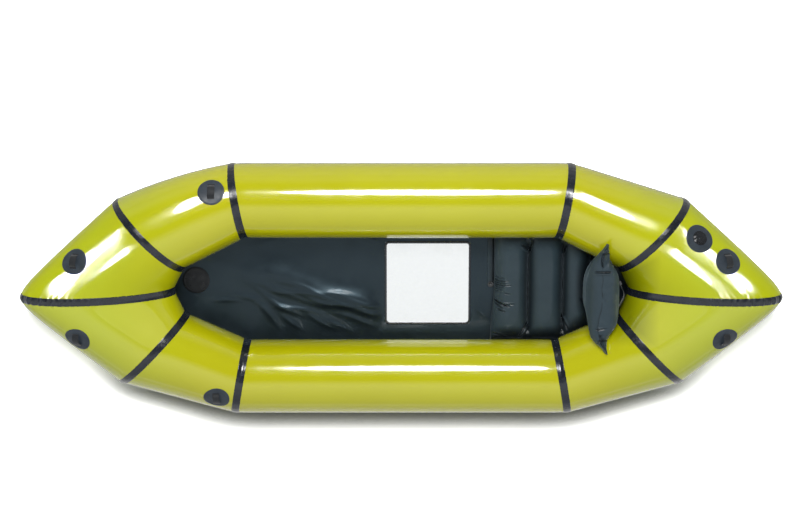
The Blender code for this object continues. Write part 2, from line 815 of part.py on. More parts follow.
def add_main_valve(skins):
    place = Place("nose", VALVE_SHARE, VALVE_ANGLE, ENDS["stern"], SIDES["starboard"])
    socket_radius = SOCKET_BORE + SOCKET_WALL
    hole = socket_radius + LAP_GAP
    add_patch("valve_patch", place, VALVE_PATCH_RADIUS, hole)
    axis = add_axis("valve_axis", valve_frame(place))

    bore = add_cutter(
        "valve_hole", cylinder_mesh("valve_hole", hole, -SOCKET_DEPTH, SOCKET_DEPTH), parent=axis
    )
    combine(skins["stern_starboard_nose_tube"], bore, "DIFFERENCE")

    flange_under = LAP_GAP + PATCH_THICKNESS + LAP_GAP
    flange_top = flange_under + FLANGE_THICKNESS
    rim_top = flange_top + COLLAR_HEIGHT
    turned("valve_base", [
        (SOCKET_BORE, rim_top),
        (socket_radius, rim_top),
        (socket_radius, flange_top),
        (FLANGE_RADIUS, flange_top),
        (FLANGE_RADIUS, flange_under),
        (socket_radius, flange_under),
        (socket_radius, -SOCKET_DEPTH),
        (SOCKET_BORE, -SOCKET_DEPTH),
    ], hardware_material, axis, ring=True)

    insert_radius = SOCKET_BORE - FIT_GAP
    insert_top = rim_top - INSERT_TOP
    insert_bottom = insert_top - INSERT_HEIGHT
    ledge_radius = insert_radius - INSERT_WALL - SEAT_LEDGE
    ledge_top = insert_bottom + SEAT_LEDGE_THICKNESS
    insert = turned("valve_insert", [
        (insert_radius - INSERT_WALL, insert_top),
        (insert_radius, insert_top),
        (insert_radius, insert_bottom),
        (ledge_radius, insert_bottom),
        (ledge_radius, ledge_top),
        (insert_radius - INSERT_WALL, ledge_top),
    ], hardware_material, axis, ring=True)
    spoke_bottom = ledge_top + SPOKE_TO_LEDGE
    spoke_top = spoke_bottom + SPOKE_DEPTH
    spoke_reach = 2 * insert_radius - INSERT_WALL
    spoke_centre = Vector((0, 0, (spoke_bottom + spoke_top) / 2))
    for name, size in (
        ("long_spokes", (spoke_reach, SPOKE_WIDTH, SPOKE_DEPTH)),
        ("cross_spokes", (SPOKE_WIDTH, spoke_reach, SPOKE_DEPTH)),
    ):
        spoke = add_cutter(name, box_mesh(name, size, spoke_centre), parent=axis)
        combine(insert, spoke, "UNION")
    hub = cylinder_mesh("hub", HUB_RADIUS, spoke_bottom - SPOKE_DEPTH / 2, spoke_top)
    combine(insert, add_cutter("hub", hub, parent=axis), "UNION")
    stem_hole = cylinder_mesh(
        "stem_hole", STEM_RADIUS + FIT_GAP, insert_bottom - OVERRUN, insert_top + OVERRUN
    )
    combine(insert, add_cutter("stem_hole", stem_hole, parent=axis), "DIFFERENCE")

    button_bottom = spoke_top + SPRING_HEIGHT
    button_top = button_bottom + BUTTON_THICKNESS
    disc_radius = ledge_radius + POPPET_DISC_OVERLAP
    disc_top = insert_bottom - FIT_GAP
    disc_bottom = disc_top - POPPET_DISC_THICKNESS
    turned("valve_poppet", [
        (0, button_top),
        (BUTTON_RADIUS, button_top),
        (BUTTON_RADIUS, button_bottom),
        (STEM_RADIUS, button_bottom),
        (STEM_RADIUS, disc_top),
        (disc_radius, disc_top),
        (disc_radius, disc_bottom),
        (0, disc_bottom),
    ], hardware_material, axis)
    add_poppet_spring(axis, spoke_top, button_bottom)

    cap_bottom = flange_top + FIT_GAP
    recess_top = rim_top + FIT_GAP
    cap_top = recess_top + CAP_TOP
    cap_mesh = cylinder_mesh("valve_cap", CAP_RADIUS, cap_bottom, cap_top, 4 * CAP_FLUTES)
    for vertex in cap_mesh.vertices:
        turn = math.atan2(vertex.co.y, vertex.co.x)
        depth = CAP_FLUTE_DEPTH * (1 - math.cos(CAP_FLUTES * turn)) / 2
        flat = vertex.co.xy.normalized() * (CAP_RADIUS - depth)
        vertex.co.x, vertex.co.y = flat
    cap = add_object("valve_cap", cap_mesh, hardware_material, parent=axis)
    recess = cylinder_mesh(
        "cap_recess", socket_radius + FIT_GAP, cap_bottom - OVERRUN, recess_top
    )
    combine(cap, add_cutter("cap_recess", recess, parent=axis), "DIFFERENCE")


def add_poppet_spring(axis, bottom, top):
    """A coil round the poppet's stem, between the hub and the button."""
    radius = (STEM_RADIUS + BUTTON_RADIUS) / 2
    clear = FIT_GAP + SPRING_WIRE
    curve = bpy.data.curves.new("poppet_spring", "CURVE")
    curve.dimensions = "3D"
    curve.bevel_depth = SPRING_WIRE
    curve.bevel_resolution = 1
    curve.use_fill_caps = True
    spline = curve.splines.new("POLY")
    count = SPRING_TURNS * SPRING_STEPS
    spline.points.add(count)
    for k, point in enumerate(spline.points):
        turn = 2 * math.pi * k / SPRING_STEPS
        height = bottom + clear + (top - bottom - 2 * clear) * k / count
        point.co = (radius * math.cos(turn), radius * math.sin(turn), height, 1)
    add_object("poppet_spring", curve, steel_material, parent=axis)


# Cushions

def pillow(name, columns, rows, place):
    """A closed cushion: place(column, row, face) gives the points of its two faces."""
    mesh = bmesh.new()
    edge_columns = (columns[0], columns[-1])
    edge_rows = (rows[0], rows[-1])
    faces = {}
    for face in (1, -1):
        grid = []
        for column in columns:
            line = []
            for row in rows:
                rim = column in edge_columns or row in edge_rows
                if face == -1 and rim:
                    line.append(faces[1][len(grid)][len(line)])
                else:
                    line.append(mesh.verts.new(place(column, row, face)))
            grid.append(line)
        faces[face] = grid
        for i in range(len(columns) - 1):
            for k in range(len(rows) - 1):
                corners = (grid[i][k], grid[i + 1][k], grid[i + 1][k + 1], grid[i][k + 1])
                mesh.faces.new(corners if face == 1 else tuple(reversed(corners)))
    if mesh.calc_volume(signed=True) < 0:
        bmesh.ops.reverse_faces(mesh, faces=mesh.faces)
    data = bpy.data.meshes.new(name)
    mesh.to_mesh(data)
    mesh.free()
    smooth(data)
    return data


def seat_columns():
    """(column, x, swell) along the seat: the swell is 1 at a chamber's crown and small at a weld."""
    columns = []
    start = SEAT_FRONT_X
    widest = max(SEAT_CHAMBERS)
    last_chamber = len(SEAT_CHAMBERS) - 1
    for chamber, length in enumerate(SEAT_CHAMBERS):
        for share in CHAMBER_SHARES:
            arch = math.sqrt(1 - (2 * share - 1) ** 2)
            floor_share = 0 if chamber == 0 and share < CHAMBER_SHARES[3] else SEAT_WELD_SHARE
            if chamber == last_chamber and share > CHAMBER_SHARES[3]:
                floor_share = 0
            swell = floor_share + (1 - floor_share) * arch
            columns.append((start + share * length, swell * (length / widest) ** (1 - floor_share)))
        start += length
    columns.append((start, 0))
    return columns


def seat_point(column, row, face, shrink):
    """A point of the seat's top (1) or underside (-1), or of the air space inside it."""
    x, swell = column
    across = 1 - abs(row) ** 4
    room = well_half_width(x, SEAT_THICKNESS) - SEAT_CLEARANCE
    half = min(SEAT_HALF_WIDTH, room) - SEAT_EDGE_DRAW * swell - shrink
    puff = swell * math.sqrt(across)
    crown = SEAT_THICKNESS - SEAT_SEAM_HEIGHT
    belly = SEAT_SEAM_HEIGHT - FLOOR_THICKNESS - FIT_GAP
    if shrink:
        puff = puff * (1 - SEAT_WELD_SHARE / 3)
        crown -= CUSHION_SKIN
        belly -= CUSHION_SKIN
        x = min(max(x, SEAT_FRONT_X + shrink), SEAT_REAR_X - shrink)
    height = crown * puff if face == 1 else -belly * min(1, SEAT_BELLY_SHARE * puff)
    return Vector((x, row * half, SEAT_SEAM_HEIGHT + height))


def add_seat():
    columns = seat_columns()
    rows = SEAT_ACROSS_SHARES
    shell = pillow("seat_cushion", columns, rows, lambda c, r, f: seat_point(c, r, f, 0))
    seat = add_object("seat_cushion", shell, cushion_material)
    inner_columns = [columns[0], *columns[2:-2], columns[-1]]
    air = pillow("seat_air", inner_columns, rows, lambda c, r, f: seat_point(c, r, f, CUSHION_SEAM))
    combine(seat, add_cutter("seat_air", air), "DIFFERENCE")
    port = cylinder_mesh("seat_port", PORT_RADIUS, -OVERRUN, 2 * CUSHION_SEAM)
    turn = Matrix.Rotation(math.pi / 2, 4, "Y")
    frame = Matrix.Translation((SEAT_FRONT_X, 0, SEAT_SEAM_HEIGHT)) @ turn
    combine(seat, add_cutter("seat_port", port, frame), "DIFFERENCE")


def add_inflation_tube():
    """The flat tube lies along the seat's front edge, and swings up from the collar at its root."""
    width = INFLATION_WIDTH
    level = FLOOR_THICKNESS + FIT_GAP + INFLATION_KNUCKLE_RADIUS
    middle_x = SEAT_FRONT_X - INFLATION_TO_SEAT - width / 2
    axis = add_axis("inflation_hinge", Matrix.Translation((middle_x, INFLATION_ROOT_Y, level)))
    straight = INFLATION_LENGTH - width / 2
    outline = [Vector((-width / 2, 0)), Vector((-width / 2, -straight))]
    for k in range(1, INFLATION_END_SIDES):
        turn = math.pi + math.pi * k / INFLATION_END_SIDES
        outline.append(Vector((
            width / 2 * math.cos(turn), -straight + width / 2 * math.sin(turn)
        )))
    outline += [Vector((width / 2, -straight)), Vector((width / 2, 0))]
    strip = flat_outline("seat_inflation_tube", [outline], INFLATION_THICKNESS)
    tube = add_object("seat_inflation_tube", meshed(strip), cushion_material, parent=axis)
    half = width / 2 + LAP_GAP
    knuckle = cylinder_mesh("tube_knuckle", INFLATION_KNUCKLE_RADIUS, -half, half)
    turn = Matrix.Rotation(math.pi / 2, 4, "Y")
    combine(tube, add_cutter("tube_knuckle", knuckle, turn, axis), "UNION")

    collar = box_mesh("seat_tube_collar", Vector((
        width + INFLATION_TO_SEAT, INFLATION_COLLAR_LENGTH, INFLATION_COLLAR_HEIGHT
    )))
    frame = Matrix.Translation((
        middle_x + INFLATION_TO_SEAT / 2 - FIT_GAP,
        INFLATION_ROOT_Y + INFLATION_KNUCKLE_RADIUS + FIT_GAP + INFLATION_COLLAR_LENGTH / 2,
        FLOOR_THICKNESS + FIT_GAP + INFLATION_COLLAR_HEIGHT / 2,
    ))
    thing = add_object("seat_tube_collar", collar, hardware_material, frame)
    bevel = thing.modifiers.new("Rounding", "BEVEL")
    bevel.width = COLLAR_ROUNDING
    bevel.segments = 2

    top = INFLATION_THICKNESS / 2 + FIT_GAP
    plug_frame = Matrix.Translation((0, -INFLATION_LENGTH + MOUTH_VALVE_INSET, top))
    add_mouth_valve("seat", plug_frame, axis)


def add_mouth_valve(stem, frame, parent):
    axis = add_axis(f"{stem}_mouth_valve_axis", frame, parent)
    turned(f"{stem}_mouth_valve_base", [
        (0, MOUTH_FLANGE_THICKNESS),
        (MOUTH_FLANGE_RADIUS, MOUTH_FLANGE_THICKNESS),
        (MOUTH_FLANGE_RADIUS, 0),
        (0, 0),
    ], hardware_material, axis)
    bottom = MOUTH_FLANGE_THICKNESS + FIT_GAP
    top = bottom + MOUTH_PLUG_HEIGHT
    turned(f"{stem}_mouth_valve_plug", [
        (0, top),
        (MOUTH_PLUG_WAIST, top),
        (MOUTH_PLUG_RADIUS, top - MOUTH_PLUG_HEIGHT / 4),
        (MOUTH_PLUG_RADIUS, top - MOUTH_PLUG_HEIGHT / 2),
        (MOUTH_PLUG_WAIST, bottom + MOUTH_PLUG_HEIGHT / 4),
        (MOUTH_PLUG_WAIST, bottom),
        (0, bottom),
    ], hardware_material, axis)


# Backrest, in world places: its hinge is its foot seam

def backrest_middle(up):
    """The place of the cushion's middle plane for a share of its height."""
    height = up * BACKREST_HEIGHT
    return Vector((BACKREST_FOOT_X + height * math.tan(BACKREST_LEAN), 0, BACKREST_FOOT_Z + height))


def backrest_half_width(up):
    middle = backrest_middle(up)
    tip_x = middle.x + BACKREST_TIP_SWEEP * up ** 4
    room = well_half_width(tip_x, max(middle.z, MITRE.centre.z))
    return min(BACKREST_HALF_WIDTH, room - BACKREST_CLEARANCE)


def backrest_point(up, across, face, shrink=0):
    """A point of the rear (1) or front (-1) face, or of the air space inside it."""
    middle = backrest_middle(up)
    half = backrest_half_width(up)
    power, draw_in = BACKREST_SIDE_ROUNDING
    swell = (1 - abs(across) ** power) ** draw_in
    power, draw_in = BACKREST_TOP_ROUNDING if 2 * up > 1 else BACKREST_FOOT_ROUNDING
    swell *= (1 - abs(2 * up - 1) ** power) ** draw_in
    depth = BACKREST_REAR if face == 1 else BACKREST_FRONT
    sweep = BACKREST_TIP_SWEEP * abs(across) ** 4 * up ** 4
    draw = BACKREST_TOP_DRAW * (1 - across ** 2) * up ** 6
    height = middle.z - draw
    if shrink:
        half -= shrink
        depth -= CUSHION_SKIN
        swell *= 1 - SEAT_WELD_SHARE / 2
        share = 1 - 2 * shrink / BACKREST_HEIGHT
        foot = backrest_middle(0.5)
        height = foot.z + (height - foot.z) * share
    return Vector((middle.x + sweep + face * depth * swell, across * half, height))


def add_backrest():
    hinge_frame = Matrix.Translation(backrest_middle(0))
    axis = add_axis("backrest_hinge", hinge_frame)
    to_axis = hinge_frame.inverted()
    shell = pillow("backrest_cushion", BACKREST_UP_SHARES, BACKREST_ACROSS_SHARES, backrest_point)
    shell.transform(to_axis)
    cushion = add_object("backrest_cushion", shell, cushion_material, parent=axis)
    air = pillow(
        "backrest_air", BACKREST_UP_SHARES[::2] + (1,), BACKREST_ACROSS_SHARES,
        lambda up, across, face: backrest_point(up, across, face, CUSHION_SEAM),
    )
    combine(cushion, add_cutter("backrest_air", air), "DIFFERENCE")

    frame = to_axis @ rear_facet_frame(BACKREST_VALVE_UP_SHARE, BACKREST_VALVE_ACROSS_SHARE)
    port = cylinder_mesh("backrest_port", PORT_RADIUS, -BACKREST_REAR / 2, FIT_GAP)
    combine(cushion, add_cutter("backrest_port", port, frame, axis), "DIFFERENCE")
    add_mouth_valve("backrest", frame, axis)
    add_strap(axis, to_axis)

    tab_y = TAB_MIDDLE_SHARE * backrest_half_width(0)
    for side_name, side in SIDES.items():
        path = [
            Vector((SEAT_REAR_X + LAP_GAP + TAB_THICKNESS / 2, side * tab_y, SEAT_SEAM_HEIGHT)),
            backrest_middle(0) + Vector((0, side * tab_y, -LAP_GAP - TAB_THICKNESS / 2)),
        ]
        across = Vector((0, TAB_WIDTH / 2, 0))
        rows = [[point - across, point + across] for point in path]
        name = f"{side_name}_backrest_tab"
        thicken(add_object(name, loft(name, rows), webbing_material), TAB_THICKNESS, 0)


def rear_point(up, y, lift=0):
    """A point of the backrest's rear face at this y, raised off it by lift."""
    half = backrest_half_width(up)
    point = backrest_point(up, y / half, 1)
    if lift:
        rise = backrest_point(up + PROBE_SHARE, y / half, 1) - point
        turn = backrest_point(up, y / half + PROBE_SHARE, 1) - point
        point += turn.cross(rise).normalized() * lift
    return point


def rear_facet_frame(up_share, across_share):
    """The middle of the rear face's facet that holds this place, just over its highest corner."""
    row = sum(share <= up_share for share in BACKREST_UP_SHARES) - 1
    column = sum(share <= across_share for share in BACKREST_ACROSS_SHARES) - 1
    corners = [
        backrest_point(up, across, 1)
        for up in BACKREST_UP_SHARES[row:row + 2]
        for across in BACKREST_ACROSS_SHARES[column:column + 2]
    ]
    middle = sum(corners, Vector()) / len(corners)
    normal = (corners[1] - corners[2]).cross(corners[3] - corners[0]).normalized()
    normal *= math.copysign(1, normal.x)
    rise = abs((corners[0] - middle).dot(normal))
    athwart = Vector((0, 1, 0))
    across = (athwart - normal * athwart.dot(normal)).normalized()
    origin = middle + normal * (rise + FIT_GAP)
    return frame_of(origin, across, normal.cross(across), normal)


def strap_path():
    """From the starboard foot on the cushion, out to the bend and back to the port foot."""
    lift = STRAP_STANDOFF + WEBBING_THICKNESS / 2
    half_span = STRAP_SPAN_SHARE * backrest_half_width(STRAP_UP_SHARE)
    feet = []
    for side in (1, -1):
        outer = rear_point(STRAP_UP_SHARE, side * (half_span + STRAP_FOOT), lift)
        inner = rear_point(STRAP_UP_SHARE, side * half_span, lift)
        feet.append((outer, inner))
    start, stop = feet[0][1], feet[1][1]
    level = (start.z + stop.z) / 2
    apex = Vector((start.x + STRAP_REACH, 0, level))
    slope = math.atan2(STRAP_REACH, half_span)
    centre = Vector((apex.x - STRAP_BEND / math.cos(slope), 0, level))
    bend = []
    for k in range(STRAP_BEND_STEPS + 1):
        turn = slope * (1 - 2 * k / STRAP_BEND_STEPS)
        direction = Vector((math.cos(turn), math.sin(turn), 0))
        bend.append(centre + STRAP_BEND * Vector((math.cos(turn), math.sin(turn), 0)))
    return [feet[0][0], start, *bend, stop, feet[1][0]]


def add_strap(axis, to_axis):
    path = [to_axis @ point for point in strap_path()]
    upwards = Vector((0, 0, STRAP_WIDTH / 2))
    rows = [[point - upwards, point + upwards] for point in path]
    strap = add_object("backrest_strap", loft("backrest_strap", rows), webbing_material, parent=axis)
    thicken(strap, WEBBING_THICKNESS, 0)

    along = (path[2] - path[1]).normalized()
    up = Vector((0, 0, 1))
    frame = frame_of(
        path[1] + along * (SLIDER_FROM_FOOT + SLIDER_LENGTH / 2), along, up, along.cross(up)
    )
    slide = add_axis("slider_slide", frame, axis)
    slot = Vector((
        SLIDER_LENGTH + OVERRUN, STRAP_WIDTH + 2 * LAP_GAP, WEBBING_THICKNESS + 2 * LAP_GAP
    ))
    size = Vector((SLIDER_LENGTH, slot.y + 2 * SLIDER_WALL, slot.z + 2 * SLIDER_WALL))
    slider = add_object("strap_slider", box_mesh("strap_slider", size), hardware_material, parent=slide)
    combine(slider, add_cutter("slider_slot", box_mesh("slider_slot", slot), parent=slide), "DIFFERENCE")
    for k in (-1, 1):
        window = Vector((SLIDER_WINDOW, STRAP_WIDTH - 2 * SLIDER_WALL, SLIDER_WALL + OVERRUN))
        centre = Vector((k * SLIDER_LENGTH / 4, 0, -(size.z + OVERRUN) / 2))
        name = f"slider_window_{k}"
        cutter = add_cutter(name, box_mesh(name, window, centre), parent=slide)
        combine(slider, cutter, "DIFFERENCE")


clear_scene()
parts = make_collection("packraft")
cutters = make_collection("cutters")
cutters.hide_render = True
hull_material = make_material("yellow coated fabric", (0.50, 0.49, 0.02), 0.28)
tape_material = make_material("dark seam tape", (0.020, 0.024, 0.035), 0.30)
floor_material = make_material("slate floor fabric", (0.040, 0.058, 0.072), 0.42)
patch_material = make_material("slate patch fabric", (0.062, 0.084, 0.105), 0.45)
cushion_material = make_material("slate cushion fabric", (0.042, 0.066, 0.080), 0.48)
webbing_material = make_material("slate webbing", (0.055, 0.070, 0.085), 0.70)
window_material = make_material("clear film", (0.90, 0.95, 0.96), 0.08, alpha=0.35)
hardware_material = make_material("black plastic", (0.015, 0.017, 0.020), 0.22)
steel_material = make_material("spring steel", (0.55, 0.56, 0.58), 0.30, 1)

hull_skins = add_hull_skins()
add_tapes()
add_floor()
add_window()
add_bow_floor_patch()
add_tie_downs()
add_main_valve(hull_skins)
add_seat()
add_inflation_tube()
add_backrest()
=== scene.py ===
"""The packraft's looks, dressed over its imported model: detailed skins, seams, cushions,
materials, light and the photograph's camera. Metres, +X to the stern, +Y to starboard."""

import math

import bmesh
import bpy
import numpy as np
from mathutils import Matrix, Vector


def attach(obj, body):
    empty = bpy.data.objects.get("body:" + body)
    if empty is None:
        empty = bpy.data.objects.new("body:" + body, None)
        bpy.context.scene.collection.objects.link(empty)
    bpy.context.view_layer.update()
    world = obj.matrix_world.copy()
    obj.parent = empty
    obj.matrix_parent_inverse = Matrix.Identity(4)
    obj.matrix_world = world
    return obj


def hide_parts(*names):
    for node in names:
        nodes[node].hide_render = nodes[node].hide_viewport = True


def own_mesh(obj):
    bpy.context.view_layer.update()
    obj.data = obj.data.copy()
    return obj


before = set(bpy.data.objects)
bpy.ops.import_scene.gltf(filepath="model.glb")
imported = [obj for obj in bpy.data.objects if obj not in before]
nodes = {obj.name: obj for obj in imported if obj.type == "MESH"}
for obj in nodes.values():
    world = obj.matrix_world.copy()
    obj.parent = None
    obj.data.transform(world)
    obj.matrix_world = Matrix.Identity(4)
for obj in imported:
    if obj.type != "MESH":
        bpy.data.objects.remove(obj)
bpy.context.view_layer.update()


ENDS = {"bow": -1, "stern": 1}
SIDES = {"port": -1, "starboard": 1}

# ---------------------------------------------------------------- the tubes' surface, as in part.py

LIFT = 0.003
SIDE_RADIUS = 0.1335
SIDE_Y = 0.458 - SIDE_RADIUS
MITRE_X = 0.579
SHOULDER_X, SHOULDER_Y = 0.8905, 0.210
TIP_X, HEEL_X = 1.344, 0.813
QUARTER_TURN = math.atan2(SIDE_Y - SHOULDER_Y, SHOULDER_X - MITRE_X)
SHOULDER_TURN = math.radians(46)
NOSE_ROUNDING = 0.13


def section(centre, across, up):
    return np.array(centre, float), np.array(across, float), np.array(up, float)


MIDSHIP = section((0, SIDE_Y, SIDE_RADIUS + LIFT), (0, SIDE_RADIUS, 0), (0, 0, SIDE_RADIUS))
MITRE = section(
    (MITRE_X, SIDE_Y, SIDE_RADIUS + LIFT),
    (SIDE_RADIUS * math.tan(QUARTER_TURN / 2), SIDE_RADIUS, 0),
    (0, 0, SIDE_RADIUS),
)
SHOULDER = section(
    (SHOULDER_X, SHOULDER_Y, 0.160 + LIFT),
    (0.172 * math.cos(SHOULDER_TURN), 0.172 * math.sin(SHOULDER_TURN), 0),
    (0, 0, 0.160),
)
NOSE_HALF = (TIP_X - HEEL_X) / 2
NOSE = section(
    ((TIP_X + HEEL_X) / 2, 0, 0.190 + LIFT),
    (NOSE_HALF, 0, NOSE_HALF * math.tan(math.radians(11))),
    (0, 0, 0.130),
)
PANELS = {"side": (MIDSHIP, MITRE), "quarter": (MITRE, SHOULDER), "nose": (SHOULDER, NOSE)}
PANELS["full_quarter"] = PANELS["quarter"]
# The full quarter's swell: its depth, where round the tube it starts, over how much, and its crown
FULLNESS, FULL_START, FULL_RISE, FULL_CROWN = 0.016, -0.87, 0.70, 0.52
# The ribs of the nose seam: how many go round it and their shares, and the reach of the tip in radians
RIB_COUNTS, RIB_SHARES = (52, 77), (0.66, 0.34)
TIP_MIDDLE, TIP_HALF, TIP_FADE = 0.10, 1.24, 0.10
SEAM_PULL, SEAM_PUCKER, RIB_DEPTH = 0.0010, 0.00022, 0.0012


def ring(which, angle):
    centre, across, up = which
    angle = np.asarray(angle, float)[..., None]
    return centre + across * np.cos(angle) + up * np.sin(angle)


def hull(panel, share, angle):
    """Points of the stern starboard tubes' surface. A full quarter swells outwards between its seams."""
    share, angle = np.broadcast_arrays(np.asarray(share, float), np.asarray(angle, float))
    first, last = (ring(which, angle) for which in PANELS[panel])
    if panel == "full_quarter":
        upper = np.clip((angle - FULL_START) / FULL_RISE, 0, 1) ** 2
        upper = upper * np.maximum(np.cos(0.75 * (angle - FULL_CROWN)), 0) ** 2
        swell = FULLNESS * 4 * share * (1 - share) * upper
        outwards = np.array((math.sin(QUARTER_TURN), math.cos(QUARTER_TURN), 0.0))
        return first + (last - first) * share[..., None] + swell[..., None] * outwards
    if panel != "nose":
        return first + (last - first) * share[..., None]
    away = 1 - share
    least = math.hypot(1, NOSE_ROUNDING) - NOSE_ROUNDING
    bend = (np.hypot(away, NOSE_ROUNDING) - NOSE_ROUNDING) / least
    point = last + (first - last) * bend[..., None]
    point[..., 1] = first[..., 1] * away
    return point


def unit(vectors):
    return vectors / np.maximum(np.linalg.norm(vectors, axis=-1, keepdims=True), 1e-12)


def outward(panel, share, angle):
    step = 0.001
    around = hull(panel, share, angle + step) - hull(panel, share, angle - step)
    along = hull(panel, share + step, angle) - hull(panel, share - step, angle)
    return unit(np.cross(around, along))


def span(panel, share, angle):
    """Metres of skin for each unit of share at this place."""
    step = 0.0005
    run = hull(panel, share + step, angle) - hull(panel, share - step, angle)
    return np.linalg.norm(run, axis=-1) / (2 * step)


# Arc length round the nose's centre line, for its ribs

_angles = np.linspace(-math.pi / 2, 1.5 * math.pi, 2881)
_steps = np.linalg.norm(np.diff(ring(NOSE, _angles), axis=0), axis=1)
_arc = np.concatenate([[0], np.cumsum(_steps)])


def ribs(angle):
    """The puckers that the bow's and stern's curved seam draws into skin and tape, from -1 to 1."""
    turn = 2 * math.pi * np.interp(angle, _angles, _arc) / _arc[-1]
    broad = np.sin(RIB_COUNTS[0] * turn + 0.9 * np.sin(5 * turn))
    fine = np.sin(RIB_COUNTS[1] * turn + 1.9 * np.sin(3 * turn))
    wave = RIB_SHARES[0] * broad + RIB_SHARES[1] * fine
    tip = 1 / (1 + np.exp((np.abs(angle - TIP_MIDDLE) - TIP_HALF) / TIP_FADE))
    return wave * (0.07 + 0.93 * tip)


def relief(panel, share, angle):
    """How far the real skin lies off the plain form: drawn in at the seams, with fine puckers."""
    share, angle = np.broadcast_arrays(np.asarray(share, float), np.asarray(angle, float))
    run = span(panel, np.clip(share, 0.02, 0.98), angle)
    if panel == "side":
        gaps = [(1 - np.abs(share)) * run]
    elif panel == "nose":
        gaps = [share * run]
    else:
        gaps = [share * run, (1 - share) * run]
    off = np.zeros(share.shape)
    for k, gap in enumerate(gaps):
        pull = np.exp(-(gap / 0.030) ** 2)
        turn = angle * (41 + 6 * k)
        fine = np.sin(turn + 2.1 * np.sin(2 * angle + k)) * np.sin(3 * angle + k) * np.exp(-(gap / 0.028) ** 2)
        off += SEAM_PUCKER * fine - SEAM_PULL * pull
    if panel == "nose":
        gap = (1 - share) * np.maximum(ring(SHOULDER, angle)[..., 1], 0.05)
        off += RIB_DEPTH * ribs(angle) * np.exp(-np.maximum(gap - 0.014, 0) / 0.007)
    return off


def skin(panel, share, angle, lift=0.0):
    share, angle = np.broadcast_arrays(np.asarray(share, float), np.asarray(angle, float))
    off = relief(panel, share, angle) + lift
    return hull(panel, share, angle) + outward(panel, share, angle) * off[..., None]


def mirrored(points, end, side):
    return points * np.array((end, side, 1.0))


def turns(count, start=0.0):
    """Evenly spaced angles once round."""
    return np.linspace(start, start + 2 * math.pi, count + 1)[:-1]


# ---------------------------------------------------------------- meshes

def grid_mesh(name, points, uv=None, closed=False, flipped=False, skip=None):
    """A mesh over rows of points, each row closed round or not. uv is in metres of cloth."""
    rows, count = points.shape[:2]
    wide = count if closed else count - 1
    i, k = np.meshgrid(np.arange(rows - 1), np.arange(wide), indexing="ij")
    after = (k + 1) % count
    faces = np.stack([i * count + k, i * count + after, (i + 1) * count + after, (i + 1) * count + k], -1)
    cells = np.stack([np.stack([i, k], -1), np.stack([i, k + 1], -1),
                      np.stack([i + 1, k + 1], -1), np.stack([i + 1, k], -1)], -2)
    faces, cells = faces.reshape(-1, 4), cells.reshape(-1, 4, 2)
    if skip is not None:
        keep = ~skip.reshape(-1)
        faces, cells = faces[keep], cells[keep]
    if flipped:
        faces, cells = faces[:, ::-1], cells[:, ::-1]
    mesh = bpy.data.meshes.new(name)
    mesh.from_pydata(points.reshape(-1, 3).tolist(), [], faces.tolist())
    if uv is not None:
        layer = mesh.uv_layers.new(name="cloth")
        layer.data.foreach_set("uv", uv[cells[..., 0], cells[..., 1]].reshape(-1).astype(np.float32))
    mesh.shade_smooth()
    return mesh


def add_piece(name, mesh, look, body="hull", replaces=()):
    thing = bpy.data.objects.new(name, mesh)
    bpy.context.scene.collection.objects.link(thing)
    thing.data.materials.append(look)
    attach(thing, body)
    if replaces:
        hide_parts(*replaces)
    return thing


def subdivided(thing):
    """Smooths the object's mesh by one round of subdivision."""
    thing.modifiers.new("Smooth", "SUBSURF").levels = 1
    graph = bpy.context.evaluated_depsgraph_get()
    mesh = bpy.data.meshes.new_from_object(thing.evaluated_get(graph))
    old = thing.data
    thing.modifiers.clear()
    thing.data = mesh
    bpy.data.meshes.remove(old)


def closed_ends(mesh):
    """Fills the open ends of a tube-like mesh and turns its faces outwards."""
    made = bmesh.new()
    made.from_mesh(mesh)
    bmesh.ops.holes_fill(made, edges=made.edges, sides=0)
    bmesh.ops.recalc_face_normals(made, faces=made.faces)
    made.to_mesh(mesh)
    made.free()
    mesh.shade_smooth()
    return mesh


def smoothed(line, times):
    """A line with its corners rounded off, its ends kept."""
    for _ in range(times):
        line[1:-1] = 0.25 * line[:-2] + 0.5 * line[1:-1] + 0.25 * line[2:]
    return line


# ---------------------------------------------------------------- materials

class Nodes:
    """A node tree that is built up node by node."""

    def __init__(self, tree):
        self.tree = tree

    def node(self, kind, **inputs):
        made = self.tree.nodes.new(kind)
        for key, value in inputs.items():
            made.inputs[key.replace("_", " ")].default_value = value
        return made

    def link(self, out, into):
        self.tree.links.new(out, into)

    def fill(self, values, sockets):
        """Gives each socket its value, as a number or colour or from another node."""
        for value, socket in zip(values, sockets):
            if isinstance(value, (int, float, tuple)):
                socket.default_value = value
            else:
                self.link(value, socket)

    def math(self, operation, *values, clamp=False):
        made = self.node("ShaderNodeMath")
        made.operation, made.use_clamp = operation, clamp
        self.fill(values, made.inputs)
        return made.outputs[0]

    def mixed(self, blend, share, first, second):
        made = self.node("ShaderNodeMix")
        made.data_type, made.blend_type = "RGBA", blend
        self.fill((share, first, second), [made.inputs[key] for key in ("Factor", "A", "B")])
        return made.outputs["Result"]

    def either(self, share, first, second):
        """The first shader where share is 0, the second where it is 1."""
        made = self.node("ShaderNodeMixShader")
        self.fill((share, first.outputs[0], second.outputs[0]), made.inputs)
        return made.outputs[0]

    def place(self, kind):
        return self.node("ShaderNodeTexCoord").outputs[kind]

    def split(self, kind):
        """The three coordinates of a place."""
        made = self.node("ShaderNodeSeparateXYZ")
        self.link(self.place(kind), made.inputs[0])
        return made.outputs

    def span(self, value, start, end, low=0.0, high=1.0):
        """value's span from start to end, as a number from low to high."""
        made = self.node("ShaderNodeMapRange", From_Min=start, From_Max=end, To_Min=low, To_Max=high)
        self.link(value, made.inputs["Value"])
        return made.outputs["Result"]


